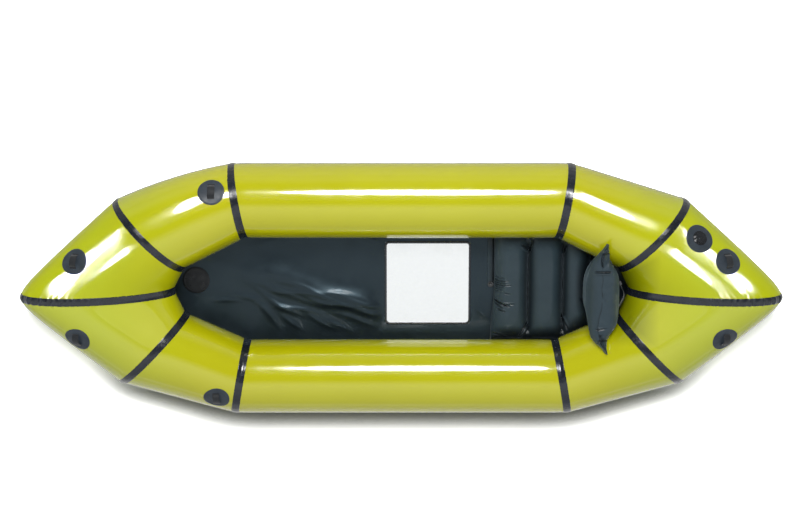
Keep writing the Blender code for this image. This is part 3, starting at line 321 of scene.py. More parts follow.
class Look(Nodes):
    """A Principled material whose colour, gloss and bump are built up node by node."""

    def __init__(self, name, colour, roughness, **sockets):
        self.material = bpy.data.materials.new(name)
        self.material.use_nodes = True
        super().__init__(self.material.node_tree)
        self.shader = self.tree.nodes["Principled BSDF"]
        self.normal = None
        for key, value in {"Base_Color": (*colour, 1), "Roughness": roughness, **sockets}.items():
            self.shader.inputs[key.replace("_", " ")].default_value = value

    def noise(self, scale, detail=4.0, roughness=0.5, distortion=0.0):
        made = self.node("ShaderNodeTexNoise", Scale=scale, Detail=detail, Roughness=roughness,
                         Distortion=distortion)
        self.link(self.place("Object"), made.inputs["Vector"])
        return made.outputs["Fac"]

    def tones(self, value, dark, light, start=0.3, end=0.7):
        """Colours from dark to light over value's span from start to end."""
        made = self.node("ShaderNodeValToRGB")
        for element, position, colour in zip(made.color_ramp.elements, (start, end), (dark, light)):
            element.position, element.color = position, (*colour, 1)
        self.link(value, made.inputs["Fac"])
        return made.outputs["Color"]

    def wave(self, axis, pitch):
        """A sine along one of the cloth's own coordinates."""
        turn = self.math("MULTIPLY", self.split("UV")[axis], 2 * math.pi / pitch)
        return self.math("SINE", turn)

    def raised(self, wave):
        """A sine from -1 to 1, as a height from 0 to 1."""
        return self.math("ADD", self.math("MULTIPLY", wave, 0.5), 0.5)

    def weave(self, pitch, across=None):
        """A plain weave over the cloth's own coordinates."""
        return self.raised(self.math("MULTIPLY", self.wave(0, pitch), self.wave(1, across or pitch)))

    def bump(self, value, distance):
        made = self.node("ShaderNodeBump", Strength=1.0, Distance=distance)
        self.link(value, made.inputs["Height"])
        if self.normal is not None:
            self.link(self.normal, made.inputs["Normal"])
        self.normal = made.outputs["Normal"]
        self.link(self.normal, self.shader.inputs["Normal"])

    def colour(self, out):
        self.link(out, self.shader.inputs["Base Color"])

    def gloss(self, value, low, high):
        """Roughness from low to high over the middle of a noise."""
        self.link(self.span(value, 0.35, 0.65, low, high), self.shader.inputs["Roughness"])


def hull_look(name="yellow_coated_fabric", coat=1.0, bend=1.5):
    look = Look(name, (0.555, 0.545, 0.004), 0.12, Coat_Weight=coat, Coat_Roughness=0.03,
                Coat_IOR=1.55, IOR=bend)
    x, y, _ = look.split("Object")
    cloud = look.tones(look.noise(2.2, 5, 0.55), (0.545, 0.528, 0.003), (0.580, 0.570, 0.005))
    # Painted light: the ends are tinted greener, the way the pale light they mirror makes them look
    ends = look.span(look.math("ABSOLUTE", x), 0.70, 1.05)
    body = look.mixed("MULTIPLY", ends, cloud, (0.89, 1.0, 1.0, 1))
    # Painted shade on the stern's inner wall, behind the backrest, where less light reaches
    outside = look.span(look.math("ABSOLUTE", y), 0.09, 0.17)
    outside = look.math("MAXIMUM", look.span(x, 0.81, 0.91), outside)
    outside = look.math("MAXIMUM", outside, look.span(x, 0.70, 0.78, 1.0, 0.0), clamp=True)
    inner_wall_painted_shade = look.math("SUBTRACT", 1, outside)
    look.colour(look.mixed("MULTIPLY", inner_wall_painted_shade, body, (0.42, 0.45, 0.3, 1)))
    look.gloss(look.noise(16, 4, 0.6), 0.10, 0.18)
    look.bump(look.noise(5.5, 2, 0.4), 0.0012)
    look.bump(look.noise(26, 3, 0.5), 0.00008)
    look.bump(look.weave(0.0011), 0.000003)
    return look.material


def tape_look():
    look = Look("dark_seam_tape", (0.010, 0.013, 0.019), 0.30, Coat_Weight=0.8, Coat_Roughness=0.17, IOR=1.36)
    look.colour(look.tones(look.noise(30), (0.008, 0.010, 0.015), (0.016, 0.020, 0.029)))
    look.gloss(look.noise(70, 3), 0.16, 0.30)
    look.bump(look.raised(look.wave(0, 0.0056)), 0.00022)
    look.bump(look.noise(130, 3, 0.6), 0.00006)
    look.bump(look.weave(0.0009), 0.000004)
    return look.material


def floor_look():
    look = Look("slate_floor_fabric", (0.010, 0.016, 0.021), 0.40, IOR=1.55,
                Specular_Tint=(0.58, 0.84, 1.0, 1), Coat_Weight=0.12, Coat_Roughness=0.12)
    look.colour(look.tones(look.noise(6, 5, 0.6), (0.007, 0.011, 0.015), (0.013, 0.019, 0.025)))
    look.gloss(look.noise(24), 0.36, 0.46)
    look.bump(look.noise(5, 3, 0.45, 0.6), 0.0030)
    look.bump(look.noise(34, 2, 0.4), 0.00010)
    look.bump(look.weave(0.0013), 0.000004)
    return look.material


def patch_look(name="slate_patch_fabric", dark=(0.030, 0.040, 0.052), light=(0.048, 0.061, 0.077), roughness=0.45):
    look = Look(name, light, roughness, IOR=1.38, Coat_Weight=0.10, Coat_Roughness=0.25)
    look.colour(look.tones(look.noise(34), dark, light))
    look.gloss(look.noise(60, 3), roughness - 0.08, roughness + 0.08)
    look.bump(look.noise(90, 3), 0.00008)
    look.bump(look.weave(0.0012), 0.000006)
    return look.material


def cushion_look():
    look = Look("slate_cushion_fabric", (0.030, 0.048, 0.060), 0.44, IOR=1.42,
                Sheen_Weight=0.15, Sheen_Roughness=0.45, Sheen_Tint=(0.55, 0.72, 0.84, 1))
    body = look.tones(look.noise(9, 4, 0.55), (0.026, 0.044, 0.057), (0.034, 0.055, 0.069))
    # Painted shade: valleys and tucks are darkened by their occlusion, as they gather little light
    occlusion_for_painted_shade = look.node("ShaderNodeAmbientOcclusion", Distance=0.05)
    occlusion_for_painted_shade.samples = 8
    open_share = look.math("POWER", occlusion_for_painted_shade.outputs["AO"], 2.6)
    look.colour(look.mixed("MIX", open_share, (0.001, 0.002, 0.003, 1), body))
    look.gloss(look.noise(45, 3), 0.36, 0.50)
    look.bump(look.noise(22, 3, 0.5), 0.00050)
    look.bump(look.noise(60, 4, 0.6), 0.00018)
    look.bump(look.weave(0.0010), 0.000004)
    return look.material


def webbing_look(name, dark, light):
    look = Look(name, light, 0.62, Sheen_Weight=0.25, Sheen_Roughness=0.5)
    weave = look.weave(0.0024, 0.0016)
    look.colour(look.tones(weave, dark, light, 0.1, 0.9))
    look.bump(weave, 0.00014)
    look.bump(look.noise(300, 2), 0.00006)
    return look.material


def film_look():
    look = Look("clear_film", (0.93, 0.96, 0.97), 0.06, Coat_Weight=0.5, Coat_Roughness=0.03)
    look.bump(look.noise(9, 3, 0.5), 0.0010)
    clear = look.node("ShaderNodeBsdfTransparent", Color=(0.965, 0.985, 0.99, 1))
    veil = look.span(look.noise(14, 4, 0.6), 0.35, 0.65, 0.10, 0.20)
    look.link(look.either(veil, clear, look.shader), look.tree.nodes["Material Output"].inputs["Surface"])
    return look.material


def plastic_look():
    look = Look("black_moulded_plastic", (0.012, 0.013, 0.015), 0.22, Coat_Weight=1.0, Coat_Roughness=0.06)
    look.colour(look.tones(look.noise(60, 3), (0.009, 0.010, 0.012), (0.017, 0.019, 0.022)))
    look.gloss(look.noise(160, 3), 0.16, 0.30)
    look.bump(look.noise(420, 3, 0.6), 0.00003)
    return look.material


def steel_look():
    look = Look("spring_steel", (0.56, 0.57, 0.59), 0.28, Metallic=1.0)
    look.gloss(look.noise(500, 2), 0.20, 0.36)
    look.bump(look.noise(900, 2), 0.00002)
    return look.material


LOOP_WEBBING = webbing_look("black_webbing", (0.004, 0.005, 0.006), (0.012, 0.015, 0.019))
NOSE_SKIN = hull_look("yellow_coated_fabric_of_the_starboard_noses", 0.30, 1.30)
# Painted shade: a darker copy of the patch fabric, for the bow floor patch, which lies in shade
SHADED_PATCH_LOOK = patch_look("patch_fabric_with_painted_shade", (0.006, 0.007, 0.009), (0.011, 0.013, 0.016), 0.34)
LOOKS = {
    "hull_fabric": hull_look(),
    "seam_tape": tape_look(),
    "floor_fabric": floor_look(),
    "patch_fabric": patch_look(),
    "cushion_fabric": cushion_look(),
    "webbing": webbing_look("slate_webbing", (0.024, 0.032, 0.040), (0.056, 0.072, 0.088)),
    "window_film": film_look(),
    "valve_plastic": plastic_look(),
    "spring_steel": steel_look(),
}


# ---------------------------------------------------------------- hull skins

def graded(start, end, count, ends=(True, True), power=1.8):
    """Values from start to end, closer together at the ends that need it."""
    t = np.linspace(0, 1, count)
    if ends == (True, True):
        t = np.where(t < 0.5, 0.5 * (2 * t) ** power, 1 - 0.5 * (2 * (1 - t)) ** power)
    elif ends[0]:
        t = t ** power
    elif ends[1]:
        t = 1 - (1 - t) ** power
    return start + (end - start) * t


def ring_angles(panel):
    if panel != "nose":
        return turns(160, -math.pi / 2)
    front = np.linspace(-math.pi / 2, math.pi / 2, 381)
    back = np.linspace(math.pi / 2, 1.5 * math.pi, 121)
    return np.concatenate([front[:-1], back[:-1]])


def lengths(points):
    """Running lengths along both directions of a grid, for cloth coordinates."""
    down = np.linalg.norm(np.diff(points, axis=0), axis=-1).mean(1)
    round_ = np.linalg.norm(np.diff(points, axis=1), axis=-1).mean(0)
    return np.concatenate([[0], np.cumsum(down)]), np.concatenate([[0], np.cumsum(round_)])


def cloth_uv(points, closed):
    if closed:
        points = np.concatenate([points, points[:, :1]], 1)
    down, round_ = lengths(points)
    u, v = np.meshgrid(down, round_, indexing="ij")
    return np.stack([u, v], -1)


VALVE_CENTRE = np.array((1.040305, 0.222938, 0.295977))
VALVE_HOLE = 0.0195
# The bare strip between a skin's edge and its seam, under the tape
GAP = 0.0006


def add_skins():
    for side_name, side in SIDES.items():
        panels = [("side", 1, f"{side_name}_side_tube")]
        for end_name, end in ENDS.items():
            full = "full_quarter" if (end, side) == (-1, 1) else "quarter"
            panels += [(full, end, f"{end_name}_{side_name}_quarter_tube"),
                       ("nose", end, f"{end_name}_{side_name}_nose_tube")]
        for panel, end, name in panels:
            angles = ring_angles(panel)
            if panel == "side":
                shares = graded(-1, 1, 81)
            elif panel != "nose":
                shares = graded(0, 1, 49)
            else:
                shares = np.concatenate([graded(0, 0.80, 37, (True, False))[:-1], np.linspace(0.80, 1, 21)])
            share, angle = np.meshgrid(shares, angles, indexing="ij")
            run = span(panel, np.clip(share, 0.01, 0.99), angle)
            share = np.clip(share, (-1 if panel == "side" else 0) + GAP / run, 1 - GAP / run)
            points = mirrored(skin(panel, share, angle), end, side)
            skip = None
            if name == "stern_starboard_nose_tube":
                near = np.linalg.norm(points - VALVE_CENTRE, axis=-1) < VALVE_HOLE
                around = np.roll(near, -1, 1)
                skip = (near | around)[:-1] | (near | around)[1:]
            mesh = grid_mesh(name, points, cloth_uv(points, True), True, end * side < 0, skip)
            look = NOSE_SKIN if panel == "nose" and side > 0 else LOOKS["hull_fabric"]
            add_piece(f"{name}_skin", mesh, look, replaces=[name])


# ---------------------------------------------------------------- seam tapes

TAPE_HALF, TAPE_THICK, TAPE_RIDGE = 0.014, 0.0013, 0.0016
TAPE_ROWS = np.array((-1, -0.985, -0.94, -0.80, -0.60, -0.40, -0.20, 0, 0.20, 0.40, 0.60, 0.80, 0.94, 0.985, 1))
TAPE_LIFTS = np.array((0.2, 0.75, 1, 1, 1, 1, 1, 1, 1, 1, 1, 1, 1, 0.75, 0.2)) * TAPE_THICK


def seam_rows(before, after, angles):
    """The rows of a tape over the seam of two panels, half of it on either."""
    rows = []
    for off, lift in zip(TAPE_ROWS * TAPE_HALF, TAPE_LIFTS):
        panel, edge, probe = (before, 1.0, 0.98) if off <= 0 else (after, 0.0, 0.02)
        share = edge + off / span(panel, np.full(angles.shape, probe), angles)
        rows.append(skin(panel, share, angles, lift))
    return np.array(rows)


def centre_rows(angles):
    """The rows of the tape along the two noses' seam, raised to a ribbed ridge in its middle."""
    rows = []
    reach = np.maximum(ring(SHOULDER, angles)[..., 1], 0.05)
    for off, lift in zip(TAPE_ROWS * TAPE_HALF, TAPE_LIFTS):
        ridge = TAPE_RIDGE * (1 + 1.3 * ribs(angles)) * (1 - abs(off) / TAPE_HALF) ** 0.5
        row = skin("nose", 1 - np.abs(off) / reach, angles, lift + ridge)
        if off > 0:
            row = mirrored(row, 1, -1)
        rows.append(row)
    return np.array(rows)


def add_tapes():
    angles = turns(240, -math.pi / 2)
    for end_name, end in ENDS.items():
        for side_name, side in SIDES.items():
            for kind, before, after in (("mitre", "side", "quarter"), ("shoulder", "quarter", "nose")):
                name = f"{end_name}_{side_name}_{kind}_tape"
                points = mirrored(seam_rows(before, after, angles), end, side)
                mesh = grid_mesh(name, points, cloth_uv(points, True), True, end * side < 0)
                add_piece(f"{name}_strip", mesh, LOOKS["seam_tape"], replaces=[name])
        name = f"{end_name}_centre_tape"
        points = mirrored(centre_rows(ring_angles("nose")), end, 1)
        mesh = grid_mesh(name, points, cloth_uv(points, True), True, end < 0)
        add_piece(f"{name}_strip", mesh, LOOKS["seam_tape"], replaces=[name])


# ---------------------------------------------------------------- floor

WINDOW_X, WINDOW_Y, WINDOW_HALF = 0.097, -0.0105, (0.1495, 0.149)
WINDOW_CORNER, RIM_WIDTH, PANE_LAP = 0.011, 0.008, 0.0045
RIM_HEIGHTS = (0.0024, 0.0030, 0.0033, 0.0033, 0.0033, 0.0030, 0.0016)
BOW_PATCH_X = -0.750
SEAT_FRONT, SEAT_REAR = 0.342, 0.690
FLOOR_LIFT = 0.0018


def fold(x, y, cx, cy, angle, length, width, height):
    """One soft fold of the floor, long along its own angle."""
    c, s = math.cos(math.radians(angle)), math.sin(math.radians(angle))
    u, v = (x - cx) * c + (y - cy) * s, -(x - cx) * s + (y - cy) * c
    v = v + 0.012 * np.sin(u * 19 + cx * 40)
    return height * np.exp(-(u / length) ** 2) / (1 + (v / width) ** 2)


def floor_waves(x, y):
    """Folds of the floor inside the well: none under the window and the seat."""
    high = 0
    for values in (
        (-0.26, -0.062, -17, 0.26, 0.030, 0.0125),
        (-0.30, -0.020, -14, 0.22, 0.030, 0.0080),
        (-0.38, -0.050, -12, 0.10, 0.008, 0.0040),
        (-0.33, -0.040, -16, 0.12, 0.007, 0.0035),
        (-0.27, -0.075, -14, 0.10, 0.007, 0.0035),
        (-0.20, -0.062, -12, 0.10, 0.007, 0.0035),
        (-0.22, -0.100, -15, 0.20, 0.012, 0.0065),
        (-0.10, -0.118, -15, 0.10, 0.009, 0.0070),
        (-0.13, -0.080, -10, 0.11, 0.010, 0.0060),
        (-0.44, -0.086, -28, 0.085, 0.010, 0.0085),
        (-0.38, -0.112, -17, 0.080, 0.008, 0.0065),
        (-0.50, -0.125, -44, 0.055, 0.009, 0.0065),
        (-0.40, -0.158, -48, 0.035, 0.007, 0.0060),
        (-0.29, -0.150, -24, 0.060, 0.008, 0.0060),
        (-0.24, -0.165, -36, 0.050, 0.007, 0.0050),
        (-0.16, -0.150, -10, 0.080, 0.009, 0.0050),
        (-0.47, -0.030, -12, 0.090, 0.016, 0.0060),
        (-0.56, -0.060, -20, 0.050, 0.008, 0.0035),
        (-0.34, 0.168, 7, 0.110, 0.014, 0.0080),
        (-0.16, 0.172, -11, 0.100, 0.011, 0.0065),
        (-0.46, 0.050, 6, 0.110, 0.035, 0.0040),
        (-0.64, -0.080, 12, 0.040, 0.007, 0.0040),
        (0.285, -0.128, -32, 0.050, 0.010, 0.0050),
        (0.292, 0.020, 84, 0.120, 0.008, 0.0016),
    ):
        high = high + fold(x, y, *values)
    gap_x = np.maximum(np.abs(x - WINDOW_X) - WINDOW_HALF[0] - 0.010, 0)
    gap_y = np.maximum(np.abs(y - WINDOW_Y) - WINDOW_HALF[1] - 0.010, 0)
    window = 1 - np.exp(-(np.hypot(gap_x, gap_y) / 0.030) ** 2)
    seat = 1 / (1 + np.exp((x - SEAT_FRONT + 0.030) / 0.006))
    return high * window * seat


def floor_grid():
    stations = []
    for panel, shares in (
        ("side", np.linspace(0, 1, 118)),
        ("quarter", np.linspace(0, 1, 40)[1:]),
        ("nose", np.concatenate([np.linspace(0, 0.8, 40)[1:], np.linspace(0.8, 1, 16)[1:]])),
    ):
        stations += [(panel, share) for share in shares]
    flank = np.radians(np.concatenate([np.linspace(-120, -96, 9)[:-1], np.linspace(-96, -45, 14)]))
    rows = []
    for panel, share in stations:
        out = skin(panel, np.full(flank.shape, share), flank, FLOOR_LIFT)
        low = np.minimum.accumulate(out[::-1, 2])[::-1]
        tuck = flank < -math.pi / 2
        out[tuck, 2] = np.minimum(out[tuck, 2], low[tuck])
        inner = out[0]
        blend = np.linspace(0, 1, 46)[:-1]
        y = inner[1] * blend
        flat = np.stack([np.full(y.shape, inner[0]), y, np.full(y.shape, inner[2])], -1)
        rows.append(np.concatenate([flat, out]))
    half = np.array(rows)
    bow = mirrored(half[:0:-1], -1, 1)
    starboard = np.concatenate([bow, half])
    port = mirrored(starboard[:, :0:-1], 1, -1)
    return np.concatenate([port, starboard], 1)


def add_floor():
    points = floor_grid()
    x, y, z = points[..., 0], points[..., 1], points[..., 2]
    half = np.abs(y)
    under = np.clip((0.285 - half) / 0.05, 0, 1)
    reach = np.clip((0.80 - np.abs(x)) / 0.08, 0, 1)
    patch = 1 - np.exp(-(np.maximum(np.hypot(x - BOW_PATCH_X, y) - 0.052, 0) / 0.03) ** 2)
    points[..., 2] = z + floor_waves(x, y) * under * under * (3 - 2 * under) * reach * patch
    middle_x = (points[:-1, :-1, 0] + points[1:, 1:, 0]) / 2
    middle_y = (points[:-1, :-1, 1] + points[1:, 1:, 1]) / 2
    hole = (np.abs(middle_x - WINDOW_X) < WINDOW_HALF[0]) & (np.abs(middle_y - WINDOW_Y) < WINDOW_HALF[1])
    mesh = grid_mesh("floor", points, cloth_uv(points, False), False, True, hole)
    sheet = add_piece("floor_fabric_sheet", mesh, LOOKS["floor_fabric"], replaces=["floor_sheet"])


def rounded_rectangle(half_x, half_y, corner, steps=10):
    points = []
    for quarter, (sx, sy) in enumerate(((1, 1), (-1, 1), (-1, -1), (1, -1))):
        for k in range(steps + 1):
            turn = math.pi / 2 * (quarter + k / steps)
            points.append((sx * (half_x - corner) + corner * math.cos(turn),
                           sy * (half_y - corner) + corner * math.sin(turn)))
    return np.array(points)


def add_window():
    half_x, half_y = WINDOW_HALF
    inner = rounded_rectangle(half_x, half_y, WINDOW_CORNER)
    outer = rounded_rectangle(half_x + RIM_WIDTH, half_y + RIM_WIDTH, WINDOW_CORNER + RIM_WIDTH)
    rows = []
    for number, height in enumerate(RIM_HEIGHTS):
        line = inner + (outer - inner) * number / (len(RIM_HEIGHTS) - 1) + (WINDOW_X, WINDOW_Y)
        rows.append(np.concatenate([line, np.full((len(line), 1), height)], 1))
    points = np.array(rows)
    mesh = grid_mesh("rim", points, cloth_uv(points, True), True, True)
    add_piece("window_welded_rim", mesh, LOOKS["seam_tape"], replaces=["window_rim"])

    steps = np.linspace(-1, 1, 61)
    u, v = np.meshgrid(steps, steps, indexing="ij")
    x, y = u * (half_x + PANE_LAP), v * (half_y + PANE_LAP)
    edge = (1 - u ** 8) * (1 - v ** 8)
    buckle = np.exp(-((y + 0.105 - 0.01 * np.sin(x * 30)) / 0.012) ** 2)
    z = 0.0021 + 0.0011 * edge * (np.sin(x * 23 + 3 * y) * np.cos(y * 17 - 2 * x) + 0.8 * buckle)
    points = np.stack([x + WINDOW_X, y + WINDOW_Y, np.maximum(z, 0.0016)], -1)
    mesh = grid_mesh("pane", points, cloth_uv(points, False), False, True)
    add_piece("window_pane", mesh, LOOKS["window_film"], replaces=["floor_window"])


# ---------------------------------------------------------------- round patches and loops

def place_axes(panel, share, angle):
    normal = outward(panel, np.array(share), np.array(angle))
    along = unit(np.array((0.0, 1, 0)) - normal * normal[1])
    return along, np.cross(normal, along), normal


def nearby(panel, share, angle, along, across, lift):
    """Points of the skin at these offsets in the place's own axes, raised by lift."""
    axes = place_axes(panel, share, angle)
    centre = hull(panel, share, angle)
    shares, angles = np.full(np.shape(along), share), np.full(np.shape(along), angle)
    step = 0.001
    for _ in range(7):
        here = hull(panel, shares, angles)
        by_share = (hull(panel, shares + step, angles) - here) / step
        by_angle = (hull(panel, shares, angles + step) - here) / step
        miss = [along - (here - centre) @ axes[0], across - (here - centre) @ axes[1]]
        a, b = by_share @ axes[0], by_angle @ axes[0]
        c, d = by_share @ axes[1], by_angle @ axes[1]
        det = a * d - b * c
        shares = shares + (d * miss[0] - b * miss[1]) / det
        angles = angles + (a * miss[1] - c * miss[0]) / det
    return hull(panel, shares, angles) + outward(panel, shares, angles) * np.asarray(lift)[..., None]


# Where the tie-down patches and the valve patch sit: panel, share, angle, end and side
PLACES = {
    f"{end_name}_{side_name}_nose": ("nose", 0.52, math.radians(46), end, side)
    for end_name, end in ENDS.items()
    for side_name, side in SIDES.items()
}
PLACES["bow_port_quarter"] = ("quarter", 0.19, math.radians(58), -1, -1)
PLACES["bow_starboard_quarter"] = ("full_quarter", 0.19, math.radians(58), -1, 1)
VALVE_PLACE = ("nose", 0.23, math.radians(50), 1, 1)
PATCH_RADIUS, VALVE_PATCH_RADIUS, VALVE_PATCH_HOLE, BOW_PATCH_RADIUS = 0.0470, 0.0505, 0.0178, 0.050


def disc(place, radius, hole, profile):
    """Rings of points from the hole, or the middle, to the rim, each at its profile's lift off the skin."""
    panel, share, angle, end, side = place
    cosine, sine = np.cos(turns(PATCH_SIDES)), np.sin(turns(PATCH_SIDES))
    rows = []
    for size, lift in profile:
        reach = hole + (radius - hole) * size
        rows.append(nearby(panel, share, angle, reach * cosine, reach * sine, np.full(PATCH_SIDES, lift)))
    return mirrored(np.array(rows), end, side)


PATCH_SIDES = 96
# A patch's section from its middle to its rim, with the raised line of its stitching
PATCH_PROFILE = [
    (0.0005, 0.00130), (0.12, 0.00130), (0.28, 0.00130), (0.45, 0.00130), (0.62, 0.00130), (0.76, 0.00130),
    (0.83, 0.00132), (0.855, 0.00160), (0.875, 0.00168), (0.895, 0.00160), (0.915, 0.00132), (0.95, 0.00125),
    (0.985, 0.00115), (0.996, 0.00080), (1.0, 0.00015),
]


def disc_uv(points):
    """Cloth coordinates of a disc, straight across it."""
    flat = points - points[0].mean(0)
    along, across = unit(flat[-2, 0]), unit(np.cross(np.cross(flat[-2, 0], flat[-2, 24]), flat[-2, 0]))
    uv = np.stack([flat @ along, flat @ across], -1)
    return np.concatenate([uv, uv[:, :1]], 1)


def add_patches():
    for name, place in PLACES.items():
        points = disc(place, PATCH_RADIUS, 0, PATCH_PROFILE)
        mesh = grid_mesh(name, points, disc_uv(points), True, place[3] * place[4] < 0)
        add_piece(f"{name}_patch_disc", mesh, LOOKS["patch_fabric"], replaces=[f"{name}_patch"])
        add_loop(name, place)
    valve_profile = [(0, 0.0003), (0.02, 0.0013)] + PATCH_PROFILE[2:]
    points = disc(VALVE_PLACE, VALVE_PATCH_RADIUS, VALVE_PATCH_HOLE, valve_profile)
    mesh = grid_mesh("valve_patch", points, disc_uv(points), True, False)
    add_piece("valve_patch_disc", mesh, LOOKS["patch_fabric"], replaces=["valve_patch"])

    cosine, sine = np.cos(turns(PATCH_SIDES)), np.sin(turns(PATCH_SIDES))
    rows = []
    for size, lift in PATCH_PROFILE:
        reach = BOW_PATCH_RADIUS * size
        rows.append(np.stack([BOW_PATCH_X + reach * cosine, reach * sine, np.full(PATCH_SIDES, 0.0010 + lift)], -1))
    points = np.array(rows)
    mesh = grid_mesh("bow_floor_patch", points, disc_uv(points), True, False)
    # The bow floor patch wears the patch fabric with painted shade
    add_piece("bow_floor_patch_disc", mesh, SHADED_PATCH_LOOK, replaces=["bow_floor_patch"])


WEB_THICK, LOOP_WIDTH, STRAP_WIDTH = 0.0016, 0.025, 0.020


def strap_mesh(name, middle, sideways, normals, width, thickness):
    """Webbing along a line: a closed flat section with rounded edges."""
    profile = []
    for turn in turns(16):
        c, s = math.cos(turn), math.sin(turn)
        profile.append((math.copysign(abs(c) ** 0.28, c) * width / 2,
                        math.copysign(abs(s) ** 0.75, s) * thickness / 2))
    profile = np.array(profile)
    rows = middle[:, None] + sideways[:, None] * profile[None, :, :1] + normals[:, None] * profile[None, :, 1:]
    along = np.concatenate([[0], np.cumsum(np.linalg.norm(np.diff(middle, axis=0), axis=-1))])
    uv = np.empty((len(middle), len(profile) + 1, 2))
    uv[..., 0] = np.concatenate([profile[:, 0], profile[:1, 0]])[None]
    uv[..., 1] = along[:, None]
    mesh = grid_mesh(name, rows, uv, True)
    made = bmesh.new()
    made.from_mesh(mesh)
    made.verts.ensure_lookup_table()
    count = len(profile)
    made.faces.new([made.verts[k] for k in range(count)][::-1])
    made.faces.new([made.verts[(len(middle) - 1) * count + k] for k in range(count)])
    bmesh.ops.recalc_face_normals(made, faces=made.faces)
    made.to_mesh(mesh)
    made.free()
    mesh.shade_smooth()
    mesh.set_sharp_from_angle(angle=math.radians(60))
    return mesh


def add_loop(name, place):
    """A short webbing handle arched over its patch, with both feet sewn flat on it."""
    panel, share, angle, end, side = place
    along, across, normal = place_axes(panel, share, angle)
    half, foot, rise = 0.021, 0.006, 0.014
    # Over the patch, a hair of room and half the webbing's own thickness
    lift = 0.0013 + 0.0003 + WEB_THICK / 2
    line = []
    ends = nearby(panel, share, angle, np.array((-half, half)), np.zeros(2), np.full(2, lift))
    for t in np.linspace(0, 1, 7)[:-1]:
        line.append(nearby(panel, share, angle, np.array(-half - foot + t * foot), np.array(0.0), np.array(lift)))
    for t in np.linspace(0, 1, 33):
        arch = rise * (4 * t * (1 - t)) ** 0.5
        lean = 0.10 * arch * math.sin(math.pi * t)
        line.append(ends[0] + (ends[1] - ends[0]) * t + normal * arch + across * lean)
    for t in np.linspace(0, 1, 7)[1:]:
        line.append(nearby(panel, share, angle, np.array(half + t * foot), np.array(0.0), np.array(lift)))
    line = smoothed(np.array(line), 2)
    run = unit(np.gradient(line, axis=0))
    sideways = unit(np.broadcast_to(across, line.shape) - run * (run @ across)[:, None])
    up = np.cross(run, sideways)
    scale = np.array((end, side, 1.0))
    mesh = strap_mesh(name, line * scale, sideways * scale, up * scale, LOOP_WIDTH, WEB_THICK)
    add_piece(f"{name}_loop_strap", mesh, LOOP_WEBBING, replaces=[f"{name}_loop"])


# ---------------------------------------------------------------- inflated cushions

SIM_SCALE = 10


def double_sheet(name, top_form, bottom_form, merged, flipped):
    """Two sheets over one grid, one piece where merged. Gives the mesh, the first sheet's point numbers
    and the grid places of each face's corners."""
    free = ~merged
    top = np.arange(merged.size).reshape(merged.shape)
    bottom = top.copy()
    bottom[free] = merged.size + np.arange(free.sum())
    points = np.concatenate([top_form.reshape(-1, 3), bottom_form[free]])
    squares = np.array([[i, k] for i in range(merged.shape[0] - 1) for k in range(merged.shape[1] - 1)])
    turns = np.array(((0, 0), (1, 0), (1, 1), (0, 1)))
    cells = squares[:, None] + turns[None]
    upper = top[cells[..., 0], cells[..., 1]]
    lower = bottom[cells[..., 0], cells[..., 1]]
    welded = merged[cells[..., 0], cells[..., 1]].all(1)
    faces = np.concatenate([upper, lower[~welded][:, ::-1]])
    cells = np.concatenate([cells, cells[~welded][:, ::-1]])
    if flipped:
        faces, cells = faces[:, ::-1], cells[:, ::-1]
    mesh = bpy.data.meshes.new(name)
    mesh.from_pydata(points.tolist(), [], faces.tolist())
    return mesh, top, cells


def blown_up(mesh, held, loose, pressure, cap, frames=20):
    """Lets Blender's cloth fill the sheets with air: welds stay held, loose cloth buckles into creases.
    No point moves farther than the cap."""
    start = np.empty(len(mesh.vertices) * 3)
    mesh.vertices.foreach_get("co", start)
    start = start.reshape(-1, 3)
    thing = bpy.data.objects.new("cloth", mesh.copy())
    thing.data.vertices.foreach_set("co", (start * SIM_SCALE).reshape(-1))
    scene = bpy.context.scene
    scene.collection.objects.link(thing)
    pins, slack = thing.vertex_groups.new(name="held"), thing.vertex_groups.new(name="loose")
    pins.add([int(v) for v in held], 1.0, "REPLACE")
    for number, weight in enumerate(loose):
        if weight > 0.01:
            slack.add([number], float(weight), "REPLACE")
    cloth = thing.modifiers.new("Cloth", "CLOTH")
    settings = cloth.settings
    settings.quality = 6
    settings.mass = 0.1
    settings.air_damping = 2.0
    settings.use_pressure = True
    settings.uniform_pressure_force = pressure
    settings.tension_stiffness = settings.compression_stiffness = 60
    settings.shear_stiffness = 20
    settings.bending_stiffness = 0.10
    settings.vertex_group_mass = "held"
    settings.vertex_group_shrink = "loose"
    settings.shrink_min, settings.shrink_max = 0.0, -0.10
    settings.effector_weights.gravity = 0
    cloth.collision_settings.use_collision = False
    cloth.collision_settings.use_self_collision = False
    cloth.point_cache.frame_start, cloth.point_cache.frame_end = 1, frames
    for number in range(1, frames + 1):
        scene.frame_set(number)
    result = thing.evaluated_get(bpy.context.evaluated_depsgraph_get()).to_mesh()
    points = np.empty(len(result.vertices) * 3)
    result.vertices.foreach_get("co", points)
    move = points.reshape(-1, 3) / SIM_SCALE - start
    thing.evaluated_get(bpy.context.evaluated_depsgraph_get()).to_mesh_clear()
    bpy.data.objects.remove(thing)
    scene.frame_set(1)
    size = np.linalg.norm(move, axis=1, keepdims=True)
    return start + move * (cap / np.maximum(size, 1e-9) * np.tanh(size / cap))


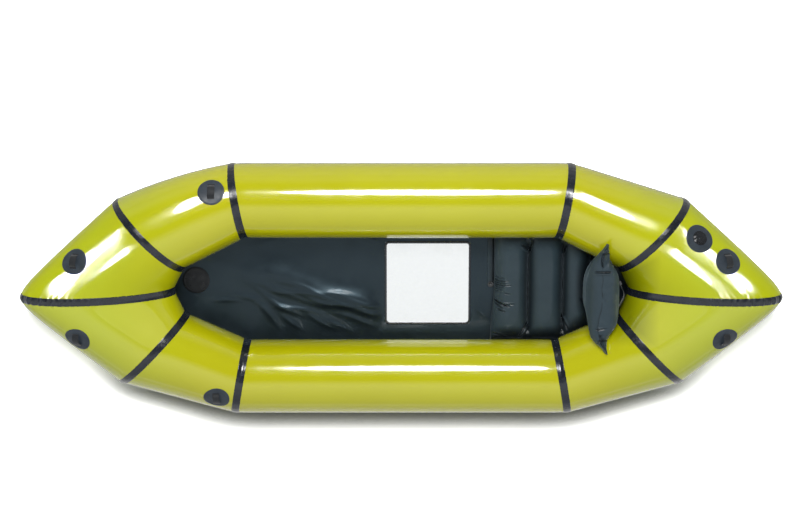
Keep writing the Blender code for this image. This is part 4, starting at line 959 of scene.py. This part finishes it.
def soft_piece(name, top_form, bottom_form, flat, merged, slack, pressure, cap, settle, body="hull", replaces=(),
               flipped=False):
    """A cushion: two sheets, welded where merged, blown up, settled into its room and smoothed."""
    mesh, top, cells = double_sheet(name, top_form, bottom_form, merged, flipped)
    points = np.concatenate([top_form.reshape(-1, 3), bottom_form[~merged]])
    loose = np.concatenate([slack.reshape(-1), slack[~merged]])
    points = blown_up(mesh, top[merged], loose, pressure, cap)
    points = settle(points)
    mesh.vertices.foreach_set("co", points.reshape(-1))
    layer = mesh.uv_layers.new(name="cloth")
    layer.data.foreach_set("uv", flat[cells[..., 0], cells[..., 1]].reshape(-1).astype(np.float32))
    mesh.shade_smooth()
    thing = add_piece(name, mesh, LOOKS["cushion_fabric"], body, replaces)
    subdivided(thing)
    return thing


def add_creases(thing, creases, level):
    """Presses creases into the side that faces up. Each is a line in plan with its width and depth in
    metres, deepest at its first end if tapered, with the cloth raised a little along its left."""
    mesh = thing.data
    count = len(mesh.vertices)
    points, normals = np.empty(count * 3), np.empty(count * 3)
    mesh.vertices.foreach_get("co", points)
    mesh.vertex_normals.foreach_get("vector", normals)
    points, normals = points.reshape(-1, 3), normals.reshape(-1, 3)
    high = np.clip((points[:, 2] - level) / 0.01, 0, 1) * np.clip(normals[:, 2] * 4 + 0.6, 0, 1)
    push = np.zeros(count)
    for x0, y0, x1, y1, width, depth in creases:
        run = np.array((x1 - x0, y1 - y0))
        long = np.hypot(*run)
        run = run / long
        along = (points[:, :2] - (x0, y0)) @ run
        across = (points[:, :2] - (x0, y0)) @ np.array((-run[1], run[0]))
        past = np.maximum(np.maximum(-along, along - long), 0)
        fade = np.exp(-(past / (1.5 * width)) ** 2) * (1 - 0.45 * np.clip(along / long, 0, 1))
        lip, groove = np.exp(-((across / width - 1.7) / 0.9) ** 2), np.exp(-(across / width) ** 2)
        push += 1.5 * depth * fade * (0.6 * lip - groove)
    points += normals * (push * high)[:, None]
    mesh.vertices.foreach_set("co", points.reshape(-1))
    mesh.update()


def well_half_width(x, z):
    """Half the clear width between the stern tubes' inner walls, for arrays of places."""
    x, z = np.abs(np.asarray(x, float)), np.asarray(z, float)

    def inner(share):
        centre = MITRE[0] + (SHOULDER[0] - MITRE[0]) * share[..., None]
        tall = MITRE[2][2] + (SHOULDER[2][2] - MITRE[2][2]) * share
        sine = np.clip((z - centre[..., 2]) / tall, -1, 1)
        return hull("quarter", share, math.pi - np.arcsin(sine))

    low, high = np.zeros(x.shape), np.ones(x.shape)
    for _ in range(24):
        middle = (low + high) / 2
        less = inner(middle)[..., 0] < x
        low, high = np.where(less, middle, low), np.where(less, high, middle)
    return inner(low)[..., 1]


def smooth_step(value):
    value = np.clip(value, 0, 1)
    return value * value * (3 - 2 * value)


SEAT_HALF = 0.2135
SEAT_TOP, SEAT_RIM, SEAT_FLOOR = 0.066, 0.022, 0.0018
CHAMBERS = (0.120, 0.127, 0.101)
SEAT_CREASES = [
    (0.4624, 0.1195, 0.4426, 0.1407, 0.0035, 0.0060), (0.4624, 0.1195, 0.4756, 0.1577, 0.0035, 0.0060),
    (0.4580, -0.1560, 0.4326, -0.1956, 0.0038, 0.0065), (0.5890, 0.1121, 0.5970, 0.1380, 0.0035, 0.0055),
    (0.5880, -0.1300, 0.6060, -0.1700, 0.0035, 0.0060),
    (0.3450, 0.0208, 0.3720, 0.0215, 0.0022, 0.0016), (0.3450, 0.0096, 0.3880, 0.0110, 0.0022, 0.0020),
    (0.3450, 0.0021, 0.3780, 0.0025, 0.0020, 0.0020), (0.3450, -0.0060, 0.3960, -0.0050, 0.0022, 0.0022),
    (0.3450, -0.0140, 0.3700, -0.0140, 0.0020, 0.0018), (0.3450, -0.0215, 0.3640, -0.0220, 0.0020, 0.0017),
    (0.3450, -0.0300, 0.3620, -0.0310, 0.0022, 0.0016), (0.3760, -0.0350, 0.3920, -0.0380, 0.0030, 0.0014),
    (0.3441, -0.0660, 0.3900, -0.0830, 0.0030, 0.0046), (0.3460, -0.0780, 0.3640, -0.0880, 0.0028, 0.0036),
    (0.3740, -0.0790, 0.4060, -0.0760, 0.0034, 0.0024), (0.3550, -0.0966, 0.3740, -0.1030, 0.0028, 0.0034),
    (0.3400, -0.1900, 0.3800, -0.2000, 0.0040, 0.0030), (0.6600, -0.0600, 0.6850, -0.0800, 0.0050, 0.0030),
]


def add_seat():
    lines, blown, marks = [], [], [1]
    for number, length in enumerate(CHAMBERS):
        steps = round(1.42 * length / 0.005)
        share = np.arange(steps + 1)[(1 if number else 0):] / steps
        lines.append(SEAT_FRONT + sum(CHAMBERS[:number]) + length * (1 - np.cos(math.pi * share)) / 2)
        blown.append(np.sin(math.pi * share) ** 0.72 * (1, 0.97, 0.93)[number])
        marks.append(marks[-1] + steps)
    x = np.concatenate([[SEAT_FRONT - 0.004], *lines, [SEAT_REAR + 0.001]])
    swell = np.concatenate([[0], *blown, [0]])
    # Finer where the creases run in from the front edge
    fine = np.linspace(-0.115, 0.035, 62) / SEAT_HALF
    a = np.concatenate([graded(-1, fine[0], 22, (True, False), 1.4), fine[1:-1],
                        graded(fine[-1], 1, 37, (False, True), 1.4)])
    room = well_half_width(x, np.full(x.shape, 0.034)) - 0.006
    half = np.minimum(SEAT_HALF, room)
    x, across = np.broadcast_arrays(x[:, None], a[None])
    y = across * half[:, None]
    i, k = np.meshgrid(np.arange(len(x)), np.arange(len(a)), indexing="ij")
    rim = (i <= 1) | (i >= len(x) - 2) | (k <= 0) | (k >= len(a) - 1)
    weld = np.isin(i, marks[1:3]) & (y > -half[:, None] + 0.052) & (y < half[:, None] - 0.088)

    beyond = smooth_step(np.maximum(-half[:, None] + 0.052 - y, y - half[:, None] + 0.088) / 0.035)
    valley = np.zeros(x.shape)
    for mark in marks[1:3]:
        valley = np.maximum(valley, np.exp(-((x - x[mark, 0]) / 0.022) ** 2))
    full = np.maximum(swell[:, None], 0.74 * beyond * valley)
    sides = (1 - np.abs(across) ** 5.5) ** 0.5
    base = SEAT_RIM + 0.012 * np.abs(across) ** 6
    flare = 0.012 * smooth_step((-0.03 - y) / 0.15) * np.clip(1 - (x - SEAT_FRONT) / 0.10, 0, 1.04)
    forward = x - flare
    upper = base + (SEAT_TOP - base) * full * sides
    lower = base - (base - SEAT_FLOOR) * (1 - (1 - np.clip(full * sides, 0, 1)) ** 2.2)
    upper, lower = np.where(weld, SEAT_RIM - 0.004, upper), np.where(weld, SEAT_RIM - 0.004, lower)
    top_form, bottom_form = np.stack([forward, y, upper], -1), np.stack([forward, y, lower], -1)

    def settle(points):
        points = points.copy()
        points[:, 2] = np.clip(points[:, 2], SEAT_FLOOR, SEAT_TOP + 0.0015)
        limit = well_half_width(points[:, 0], np.clip(points[:, 2], 0.02, 0.13)) - 0.004
        points[:, 1] = np.sign(points[:, 1]) * np.minimum(np.abs(points[:, 1]), limit)
        points[:, 0] = np.clip(points[:, 0], SEAT_FRONT - 0.018, SEAT_REAR + 0.001)
        return points

    near_front = np.exp(-((x - SEAT_FRONT) / 0.03) ** 2) + np.exp(-((x - SEAT_REAR) / 0.03) ** 2)
    slack = np.clip(0.25 * near_front + 0.9 * np.abs(across) ** 8 + 0.7 * beyond * valley, 0, 1)
    flat = np.stack([x * 1.25, y], -1)
    seat = soft_piece("seat_inflated_cushion", top_form, bottom_form, flat, rim | weld, slack, 14, 0.008, settle,
                      replaces=["seat_cushion"])
    add_creases(seat, SEAT_CREASES, 0.020)
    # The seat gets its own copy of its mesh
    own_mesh(seat)


BACK_FOOT = np.array((0.710, 0.0, 0.055))
BACK_HEIGHT = 0.268
BACK_LEAN = math.radians(1.7)
BACK_FRONT, BACK_REAR = 0.059, 0.050
BACK_CREASES = [
    (0.7278, 0.1031, 0.6818, 0.1024, 0.0032, 0.0060), (0.7063, 0.1687, 0.7237, 0.1705, 0.0030, 0.0045),
    (0.7040, 0.1680, 0.7040, 0.1080, 0.0030, 0.0030), (0.6894, -0.1046, 0.7146, -0.1002, 0.0026, 0.0035),
    (0.7034, -0.1440, 0.7246, -0.1458, 0.0030, 0.0050), (0.7030, -0.1270, 0.7080, -0.1430, 0.0028, 0.0040),
    (0.6940, -0.1500, 0.7100, -0.1380, 0.0026, 0.0034), (0.7163, 0.0448, 0.7069, 0.0014, 0.0030, 0.0028),
    (0.7240, 0.1680, 0.7260, 0.1100, 0.0035, -0.0030),
]


def back_half(up):
    middle_x = BACK_FOOT[0] + up * BACK_HEIGHT * math.tan(BACK_LEAN) + 0.016 * up ** 4
    room = well_half_width(middle_x, np.maximum(BACK_FOOT[2] + up * BACK_HEIGHT, MITRE[0][2]))
    return np.minimum(0.200, room - 0.008)


def add_backrest():
    up = graded(0, 1, 60, power=1.25)
    a = np.sin(np.linspace(-1, 1, 109) * math.pi / 2 * 0.8) / math.sin(math.pi / 2 * 0.8)
    half = back_half(up)
    up, across = np.broadcast_arrays(up[:, None], a[None])
    y = across * half[:, None] + 0.008 * smooth_step((np.abs(across) - 0.6) / 0.4) * up ** 6
    i, k = np.meshgrid(np.arange(up.shape[0]), np.arange(up.shape[1]), indexing="ij")
    merged = (i <= 0) | (i >= up.shape[0] - 2) | (k <= 0) | (k >= up.shape[1] - 1)

    high = smooth_step((up - 0.62) / 0.25)
    body = np.abs(across)
    low_plan = (1 - body ** 3) ** 0.55
    front_plan = 1 - smooth_step((body - 0.64) / 0.36)
    rear_plan = (1 - 0.78 * smooth_step((body - 0.42) / 0.36)) * (1 - body ** 20)
    tall = np.where(up > 0.5, (1 - np.abs(2 * up - 1) ** 4) ** 0.42, (1 - np.abs(2 * up - 1) ** 2.6) ** 0.60)
    front_swell = tall * (low_plan * (1 - high) + front_plan * high)
    rear_swell = tall * (low_plan * (1 - high) + rear_plan * high)
    seam_y = (-0.19, -0.15, -0.115, -0.086, -0.05, 0, 0.10, 0.17, 0.20)
    seam_x = (0.008, -0.011, -0.024, -0.026, -0.017, -0.012, -0.013, -0.013, 0.004)
    shift = np.interp(y, seam_y, seam_x) * up ** 12
    seam = BACK_FOOT[0] + up * BACK_HEIGHT * math.tan(BACK_LEAN) + shift
    wave = 0.0022 * np.sin(y * 95 + 0.6) * np.sin(y * 31) * up ** 14
    z = BACK_FOOT[2] + up * BACK_HEIGHT - 0.010 * (1 - across ** 2) * up ** 6 + wave * 0.6
    seam = seam + wave
    # Only the seam itself wanders: away from it the sheets keep their own place, and crown above its foot
    sheets = []
    for depth, swell in ((BACK_REAR, rear_swell), (-BACK_FRONT, front_swell)):
        out = depth * swell
        dip = 0.0100 * np.exp(-(out / 0.008) ** 2) * smooth_step((up - 0.8) / 0.15) * (1 - body ** 8)
        dip[-1] *= 0.15
        sheets.append(np.stack([seam + out - shift * smooth_step(swell * 1.6), y, z - dip], -1))
    top_form, bottom_form = sheets
    top_form[merged] = bottom_form[merged] = (top_form[merged] + bottom_form[merged]) / 2

    def settle(points):
        points = points.copy()
        low, tallest = BACK_FOOT[2], BACK_FOOT[2] + BACK_HEIGHT + 0.004
        points[:, 2] = np.clip(points[:, 2], low, tallest)
        limit = well_half_width(points[:, 0], np.maximum(points[:, 2], MITRE[0][2])) - 0.005
        over = points[:, 2] > 0.300
        points[:, 1] = np.where(over, points[:, 1], np.sign(points[:, 1]) * np.minimum(np.abs(points[:, 1]), limit))
        points[:, 0] = np.clip(points[:, 0], BACK_FOOT[0] - 0.058, BACK_FOOT[0] + 0.060)
        return points

    slack = np.clip(1.1 * high * body ** 4 + 0.6 * up ** 10 + 0.25 * body ** 10, 0, 1)
    flat = np.stack([up * 0.30, y * 1.1], -1)
    back = soft_piece("backrest_inflated_cushion", top_form, bottom_form, flat, merged, slack, 12, 0.009, settle,
                      "backrest", ["backrest_cushion"], True)
    add_creases(back, BACK_CREASES, 0.235)


def add_inflation_tube():
    """A flat sleeve with welded edges and a rounded end, lying along the seat's front."""
    middle_x, root_y, end_y = 0.327, 0.170, -0.027
    half, level = 0.012, 0.0035
    turn_y = end_y + half
    ys = np.concatenate([np.linspace(root_y, turn_y, 60)[:-1], turn_y - half * np.sin(np.linspace(0, math.pi / 2, 14))])
    wide = np.where(ys > turn_y, half, np.sqrt(np.maximum(half ** 2 - (turn_y - ys) ** 2, 1e-7)))
    profile = [(-1, 0), (-0.80, 0.12)]
    profile += [(c, 0.12 + 0.88 * (1 - (abs(c) / 0.8) ** 2.4) ** 0.6) for c in np.linspace(-0.72, 0.72, 13)]
    profile += [(0.80, 0.12), (1, 0)]
    profile = np.array(profile)
    loop = np.concatenate([profile, (profile * (1, -1))[-2:0:-1]])
    rows = []
    for y, w in zip(ys, wide):
        puff = 0.0019 * (0.75 + 0.25 * math.sin(y * 95) + 0.12 * math.sin(y * 310))
        x = middle_x + loop[:, 0] * w
        z = level + loop[:, 1] * puff * min(1, w / half + 0.1)
        rows.append(np.stack([x, np.full(x.shape, y), z], -1))
    points = np.array(rows)
    uv = np.empty((len(ys), len(loop) + 1, 2))
    uv[..., 0] = np.concatenate([loop[:, 0], loop[:1, 0]])[None] * half
    uv[..., 1] = ys[:, None]
    mesh = grid_mesh("tube", points, uv, True)
    tube = add_piece("inflation_sleeve", closed_ends(mesh), LOOKS["cushion_fabric"],
                     "inflation_tube", ["seat_inflation_tube"])


# ---------------------------------------------------------------- valve spring

VALVE_AXIS = unit(np.array((0.313857, 0.471406, 0.824178)))


def add_spring():
    """A wound coil in the room of the CAD's spring, with closed ends."""
    solid = nodes["poppet_spring"]
    points = np.array([solid.matrix_world @ v.co for v in solid.data.vertices]) - VALVE_CENTRE
    heights = points @ VALVE_AXIS
    low, high = heights.min(), heights.max()
    reach = np.linalg.norm(points - heights[:, None] * VALVE_AXIS, axis=1).max()
    wire, windings, idle = 0.0004, 6.5, 0.12
    first = unit(np.cross(VALVE_AXIS, (0.0, 0, 1)))
    second = np.cross(VALVE_AXIS, first)
    wound = np.linspace(0, windings * 2 * math.pi, 417)
    rise = (wound / wound[-1] - idle) / (1 - 2 * idle)
    level = low + wire + (high - low - 2 * wire) * (0.35 * smooth_step(rise) + 0.65 * np.clip(rise, 0, 1))
    out = np.cos(wound)[:, None] * first + np.sin(wound)[:, None] * second
    line = VALVE_CENTRE + level[:, None] * VALVE_AXIS + out * (reach - wire)
    run = unit(np.gradient(line, axis=0))
    sideways = np.cross(run, out)
    cosine, sine = np.cos(turns(10))[None, :, None], np.sin(turns(10))[None, :, None]
    rows = line[:, None] + wire * (out[:, None] * cosine + sideways[:, None] * sine)
    mesh = grid_mesh("coil", rows, cloth_uv(rows, True), True)
    coil = add_piece("poppet_spring_coil", closed_ends(mesh), LOOKS["spring_steel"],
                     "valve_insert", ["poppet_spring"])
    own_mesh(coil)


# ---------------------------------------------------------------- straps

def back_rear_point(up, y, lift):
    """A point on the backrest's rear, as part.py places its strap."""
    def at(u, v):
        half = float(back_half(np.array(u)))
        a = v / half
        swell = (1 - abs(a) ** 3) ** 0.55 * (1 - abs(2 * u - 1) ** 2.5) ** (0.45 if u > 0.5 else 0.7)
        x = BACK_FOOT[0] + u * BACK_HEIGHT * math.tan(BACK_LEAN) + 0.016 * abs(a) ** 4 * u ** 4 + BACK_REAR * swell
        z = BACK_FOOT[2] + u * BACK_HEIGHT - 0.010 * (1 - a ** 2) * u ** 6
        return np.array((x, v, z))
    here = at(up, y)
    normal = unit(np.cross(at(up, y + 0.0002) - here, at(up + 0.001, y) - here))
    return here + normal * lift


def add_strap():
    up, span_half, foot, reach, bend = 0.613, 0.0736, 0.010, 0.034, 0.030
    lift = 0.0013 + WEB_THICK / 2
    outer_foot, start, stop, last_foot = (
        back_rear_point(up, y, lift) for y in (span_half + foot, span_half, -span_half, -span_half - foot)
    )
    level = (start[2] + stop[2]) / 2
    slope = math.atan2(reach, span_half)
    centre = np.array((start[0] + reach - bend / math.cos(slope), 0, level))
    arc = [centre + bend * np.array((math.cos(t), math.sin(t), 0)) for t in np.linspace(slope, -slope, 25)]
    key = [outer_foot, start, *arc, stop, last_foot]
    line = []
    for first, last in zip(key, key[1:]):
        steps = max(1, round(float(np.linalg.norm(last - first)) / 0.003))
        line += [first + (last - first) * t for t in np.arange(steps) / steps]
    line.append(key[-1])
    line = smoothed(np.array(line), 3)
    run = unit(np.gradient(line, axis=0))
    sideways = unit(np.array((0, 0, 1.0)) - run * run[:, 2:])
    mesh = strap_mesh("strap", line, sideways, np.cross(run, sideways), STRAP_WIDTH, WEB_THICK)
    add_piece("backrest_webbing_strap", mesh, LOOKS["webbing"], "backrest", ["backrest_strap"])


TAB_Y, TAB_THICK = 0.0513, 0.0012


def add_tabs():
    """The webbing from the seat's rear edge to the backrest's foot."""
    for side_name, side in SIDES.items():
        start = np.array((SEAT_REAR + 0.0011, side * TAB_Y, 0.020))
        end = BACK_FOOT + np.array((0, side * TAB_Y, -0.0011))
        t = np.linspace(0, 1, 17)[:, None]
        line = start + (end - start) * t
        line[:, 2] -= 0.0015 * np.sin(math.pi * t[:, 0])
        run = unit(np.gradient(line, axis=0))
        sideways = np.broadcast_to(np.array((0, 1.0, 0)), line.shape)
        mesh = strap_mesh("tab", line, sideways, np.cross(run, sideways), LOOP_WIDTH, TAB_THICK)
        add_piece(f"{side_name}_backrest_hinge_tab", mesh, LOOKS["webbing"],
                  replaces=[f"{side_name}_backrest_tab"])


# ---------------------------------------------------------------- studio

LAMP_HEIGHT = 3.43


def direction(zenith, azimuth):
    zenith, azimuth = math.radians(zenith), math.radians(azimuth)
    return Vector((math.sin(zenith) * math.cos(azimuth), math.sin(zenith) * math.sin(azimuth), math.cos(zenith)))


def softbox(name, centre, along, size, radiance, shape="ELLIPSE", only=None, mirrored_by=None):
    """A lamp that faces the raft's middle. size is its length along the given direction and its width.
    only says whether it gives its plain light or its mirror image alone, mirrored_by on which pieces."""
    centre, along = Vector(centre), Vector(along)
    away = centre.normalized()
    along = (along - away * along.dot(away)).normalized()
    light = bpy.data.lights.new(name, "AREA")
    light.shape = shape
    light.size, light.size_y = size
    area = size[0] * size[1] * (math.pi / 4 if shape == "ELLIPSE" else 1)
    light.energy = radiance * math.pi * area
    thing = bpy.data.objects.new(name, light)
    bpy.context.scene.collection.objects.link(thing)
    thing.matrix_world = Matrix.Translation(centre) @ Matrix((along, away.cross(along), away)).transposed().to_4x4()
    thing.visible_camera = False
    if only == "light":
        thing.visible_glossy = False
    elif only == "mirror":
        thing.visible_diffuse = False
    if mirrored_by:
        lit = bpy.data.collections.new(f"{name}_on")
        for piece in mirrored_by:
            lit.objects.link(bpy.data.objects[piece])
        thing.light_linking.receiver_collection = lit


def seen(rays):
    """1 where the camera looks straight on, or through the window."""
    return rays.math("MAXIMUM", *(rays.path[key] for key in ("Is Camera Ray", "Is Transmission Ray")))


def studio_nodes(tree):
    made = Nodes(tree)
    made.path = made.node("ShaderNodeLightPath").outputs
    return made


def add_lamps():
    softbox("side_octabox", direction(25, 90) * 7.8, (1, 0, 0), (3.0, 2.6), 24, only="light")
    softbox("side_octabox_mirrored", direction(37, 87.5) * 7.8, (1, 0, 0), (2.15, 2.0), 40, only="mirror")
    bow, stern = ["bow_starboard_nose_tube_skin"], ["stern_starboard_nose_tube_skin"]
    bow_quarter, stern_quarter = ["bow_starboard_quarter_tube_skin"], ["stern_starboard_quarter_tube_skin"]
    for name, centre, along, size, radiance, pieces in (
        ("bow_quarter_box", (-1.16, 2.80), (-0.36, 0.93, 0), (1.85, 0.45), 26, bow_quarter),
        ("stern_quarter_box", (1.13, 2.75), (0.36, 0.93, 0), (1.75, 0.42), 34, stern_quarter),
        ("bow_nose_box", (-2.81, 1.12), (-0.649, 0.756, 0), (3.6, 0.26), 100, bow),
        ("bow_nose_middle", (-2.92, 1.02), (-0.71, 0.70, 0), (3.6, 0.30), 100, bow),
        ("bow_nose_foot", (-2.98, 0.885), (-0.762, 0.643, 0), (3.5, 0.30), 100, bow),
        ("bow_nose_lamp", (-1.58, -0.11), (0.557, -0.83, 0), (0.80, 0.07), 130, bow),
        ("stern_nose_box", (3.05, 1.40), (0.649, 0.757, 0), (3.45, 0.17), 100, stern),
        ("stern_nose_middle", (3.14, 1.337), (0.696, 0.713, 0), (3.6, 0.19), 100, stern),
        ("stern_nose_foot", (3.63, 1.545), (0.72, 0.69, 0), (1.8, 0.22), 100, stern),
        ("stern_nose_lamp", (1.40, -0.41), (0.532, 0.846, 0), (1.30, 0.075), 130, stern + ["valve_cap"]),
    ):
        softbox(name, (*centre, LAMP_HEIGHT), along, size, radiance, "ELLIPSE", "mirror", pieces)
    port = ["bow_port_nose_tube_skin", "stern_port_nose_tube_skin"]
    softbox("port_noses_sky", (0, 1.75, LAMP_HEIGHT), (1, 0, 0), (5.6, 4.2), 0.62, "RECTANGLE", "mirror", port)


def add_world():
    """White where it is looked at, and a sky over the port side for the light on the raft: brightest
    just past the zenith, fading towards the port horizon, with the pale backdrop in mirror images."""
    world = bpy.data.worlds.new("studio")
    world.use_nodes = True
    world.node_tree.nodes.clear()
    sky = studio_nodes(world.node_tree)
    _, y, z = sky.split("Generated")
    near = sky.span(y, 0.06, -0.20, 0.12, 1.0)
    far = sky.span(y, -0.35, -0.95, 1.0, 0.50)
    horizon = sky.span(z, 0.50, 0.20, 0.10, 0.45)
    backdrop = sky.span(z, 0.16, 0.06, 0, 0.9)
    port_half = sky.span(y, 0.60, 0.10, 0.15, 1.0)
    strength = sky.math("SUBTRACT", 0.92, sky.math("MULTIPLY", sky.path["Is Diffuse Ray"], 0.40))
    port = sky.math("MULTIPLY", sky.math("MINIMUM", near, far), strength)
    mirrored_backdrop = sky.math("MULTIPLY", backdrop, sky.math("MULTIPLY", sky.path["Is Glossy Ray"], port_half))
    light = sky.math("MAXIMUM", sky.math("MAXIMUM", port, horizon), mirrored_backdrop)
    plain = sky.node("ShaderNodeBackground", Color=(0.96, 0.985, 1.0, 1))
    sky.link(light, plain.inputs["Strength"])
    white = sky.node("ShaderNodeBackground", Color=(1, 1, 1, 1), Strength=1.0)
    sky.link(sky.either(seen(sky), plain, white), sky.node("ShaderNodeOutputWorld").inputs["Surface"])
    bpy.context.scene.world = world


def add_white_floor():
    mesh = bpy.data.meshes.new("studio_floor")
    mesh.from_pydata([(x * 30, y * 30, 0) for x, y in ((-1, -1), (1, -1), (1, 1), (-1, 1))], [], [(0, 1, 2, 3)])
    floor = bpy.data.objects.new("studio_floor", mesh)
    bpy.context.scene.collection.objects.link(floor)
    material = bpy.data.materials.new("white_floor")
    material.use_nodes = True
    material.node_tree.nodes.remove(material.node_tree.nodes["Principled BSDF"])
    paper = studio_nodes(material.node_tree)
    x, y, _ = paper.split("Object")
    looked_at = seen(paper)

    def product(first, second):
        return paper.math("MULTIPLY", first, second)

    # Paper white for the light that it throws back, brighter where it is looked at, and dark where
    # the starboard tube mirrors it
    starboard = product(paper.path["Is Glossy Ray"], paper.span(y, 0.15, 0.35))
    bright = paper.math("ADD", product(looked_at, 1.3), 0.80)
    bright = paper.math("SUBTRACT", bright, product(starboard, 0.32))
    # The floor takes the raft's real shadow; along the port side a painted contact shadow, from occlusion, deepens it
    occlusion_for_painted_shade = paper.node("ShaderNodeAmbientOcclusion", Distance=0.17)
    depth = paper.math("SUBTRACT", 1, paper.math("POWER", occlusion_for_painted_shade.outputs["AO"], 6))
    port_painted_shadow = product(looked_at, paper.span(y, -0.30, -0.43))
    shaded = paper.math("SUBTRACT", 1, product(port_painted_shadow, depth))
    sheet = paper.node("ShaderNodeBsdfDiffuse")
    paper.link(product(bright, shaded), sheet.inputs["Color"])
    # Painted light: the patch of floor behind the clear window glows an even white for the camera, though the raft
    # shades it
    under_x = paper.math("ABSOLUTE", paper.math("SUBTRACT", x, WINDOW_X))
    window_painted_glow = product(paper.math("LESS_THAN", under_x, 0.22), paper.math("LESS_THAN", paper.math("ABSOLUTE", y), 0.24))
    # Farther out the floor runs into the white backdrop
    distant = paper.span(paper.math("SQRT", paper.math("ADD", product(x, x), product(y, y))), 2.2, 4.0)
    glow = paper.node("ShaderNodeEmission", Color=(0.985, 0.995, 1.0, 1))
    paper.link(paper.math("ADD", product(distant, 0.10), 0.93), glow.inputs["Strength"])
    # The glow: painted light behind the window, and the backdrop's even white farther out
    glowing = product(looked_at, paper.math("MAXIMUM", window_painted_glow, distant))
    paper.link(paper.either(glowing, sheet, glow), paper.tree.nodes["Material Output"].inputs["Surface"])
    mesh.materials.append(material)


def add_camera():
    """The photograph's camera: high over the starboard side, fitted to the seams and the outline."""
    tilt, distance, pixels_at_1_m, picture_width = math.radians(13.5), 7.0, 279, 800
    data = bpy.data.cameras.new("photo_camera")
    data.sensor_fit = "HORIZONTAL"
    data.sensor_width = 36
    data.lens = pixels_at_1_m * distance / picture_width * 36
    data.clip_end = 100
    camera = bpy.data.objects.new("photo_camera", data)
    bpy.context.scene.collection.objects.link(camera)
    c, s = math.cos(tilt), math.sin(tilt)
    camera.matrix_world = Matrix((
        (1, 0, 0, -0.0042),
        (0, c, s, 0.0836 + distance * s),
        (0, -s, c, 0.13 + distance * c),
        (0, 0, 0, 1),
    ))
    bpy.context.scene.camera = camera


add_camera()
for _name in (
    "valve_base", "valve_insert", "valve_poppet", "valve_cap", "seat_tube_collar", "strap_slider",
    "seat_mouth_valve_base", "seat_mouth_valve_plug", "backrest_mouth_valve_base", "backrest_mouth_valve_plug",
):
    nodes[_name].data.materials.clear()
    nodes[_name].data.materials.append(LOOKS["valve_plastic"])
add_seat()
add_backrest()
add_skins()
add_tapes()
add_floor()
add_window()
add_patches()
add_inflation_tube()
add_spring()
add_strap()
add_tabs()
add_lamps()
add_world()
add_white_floor()
bpy.context.scene.view_settings.view_transform = "Standard"
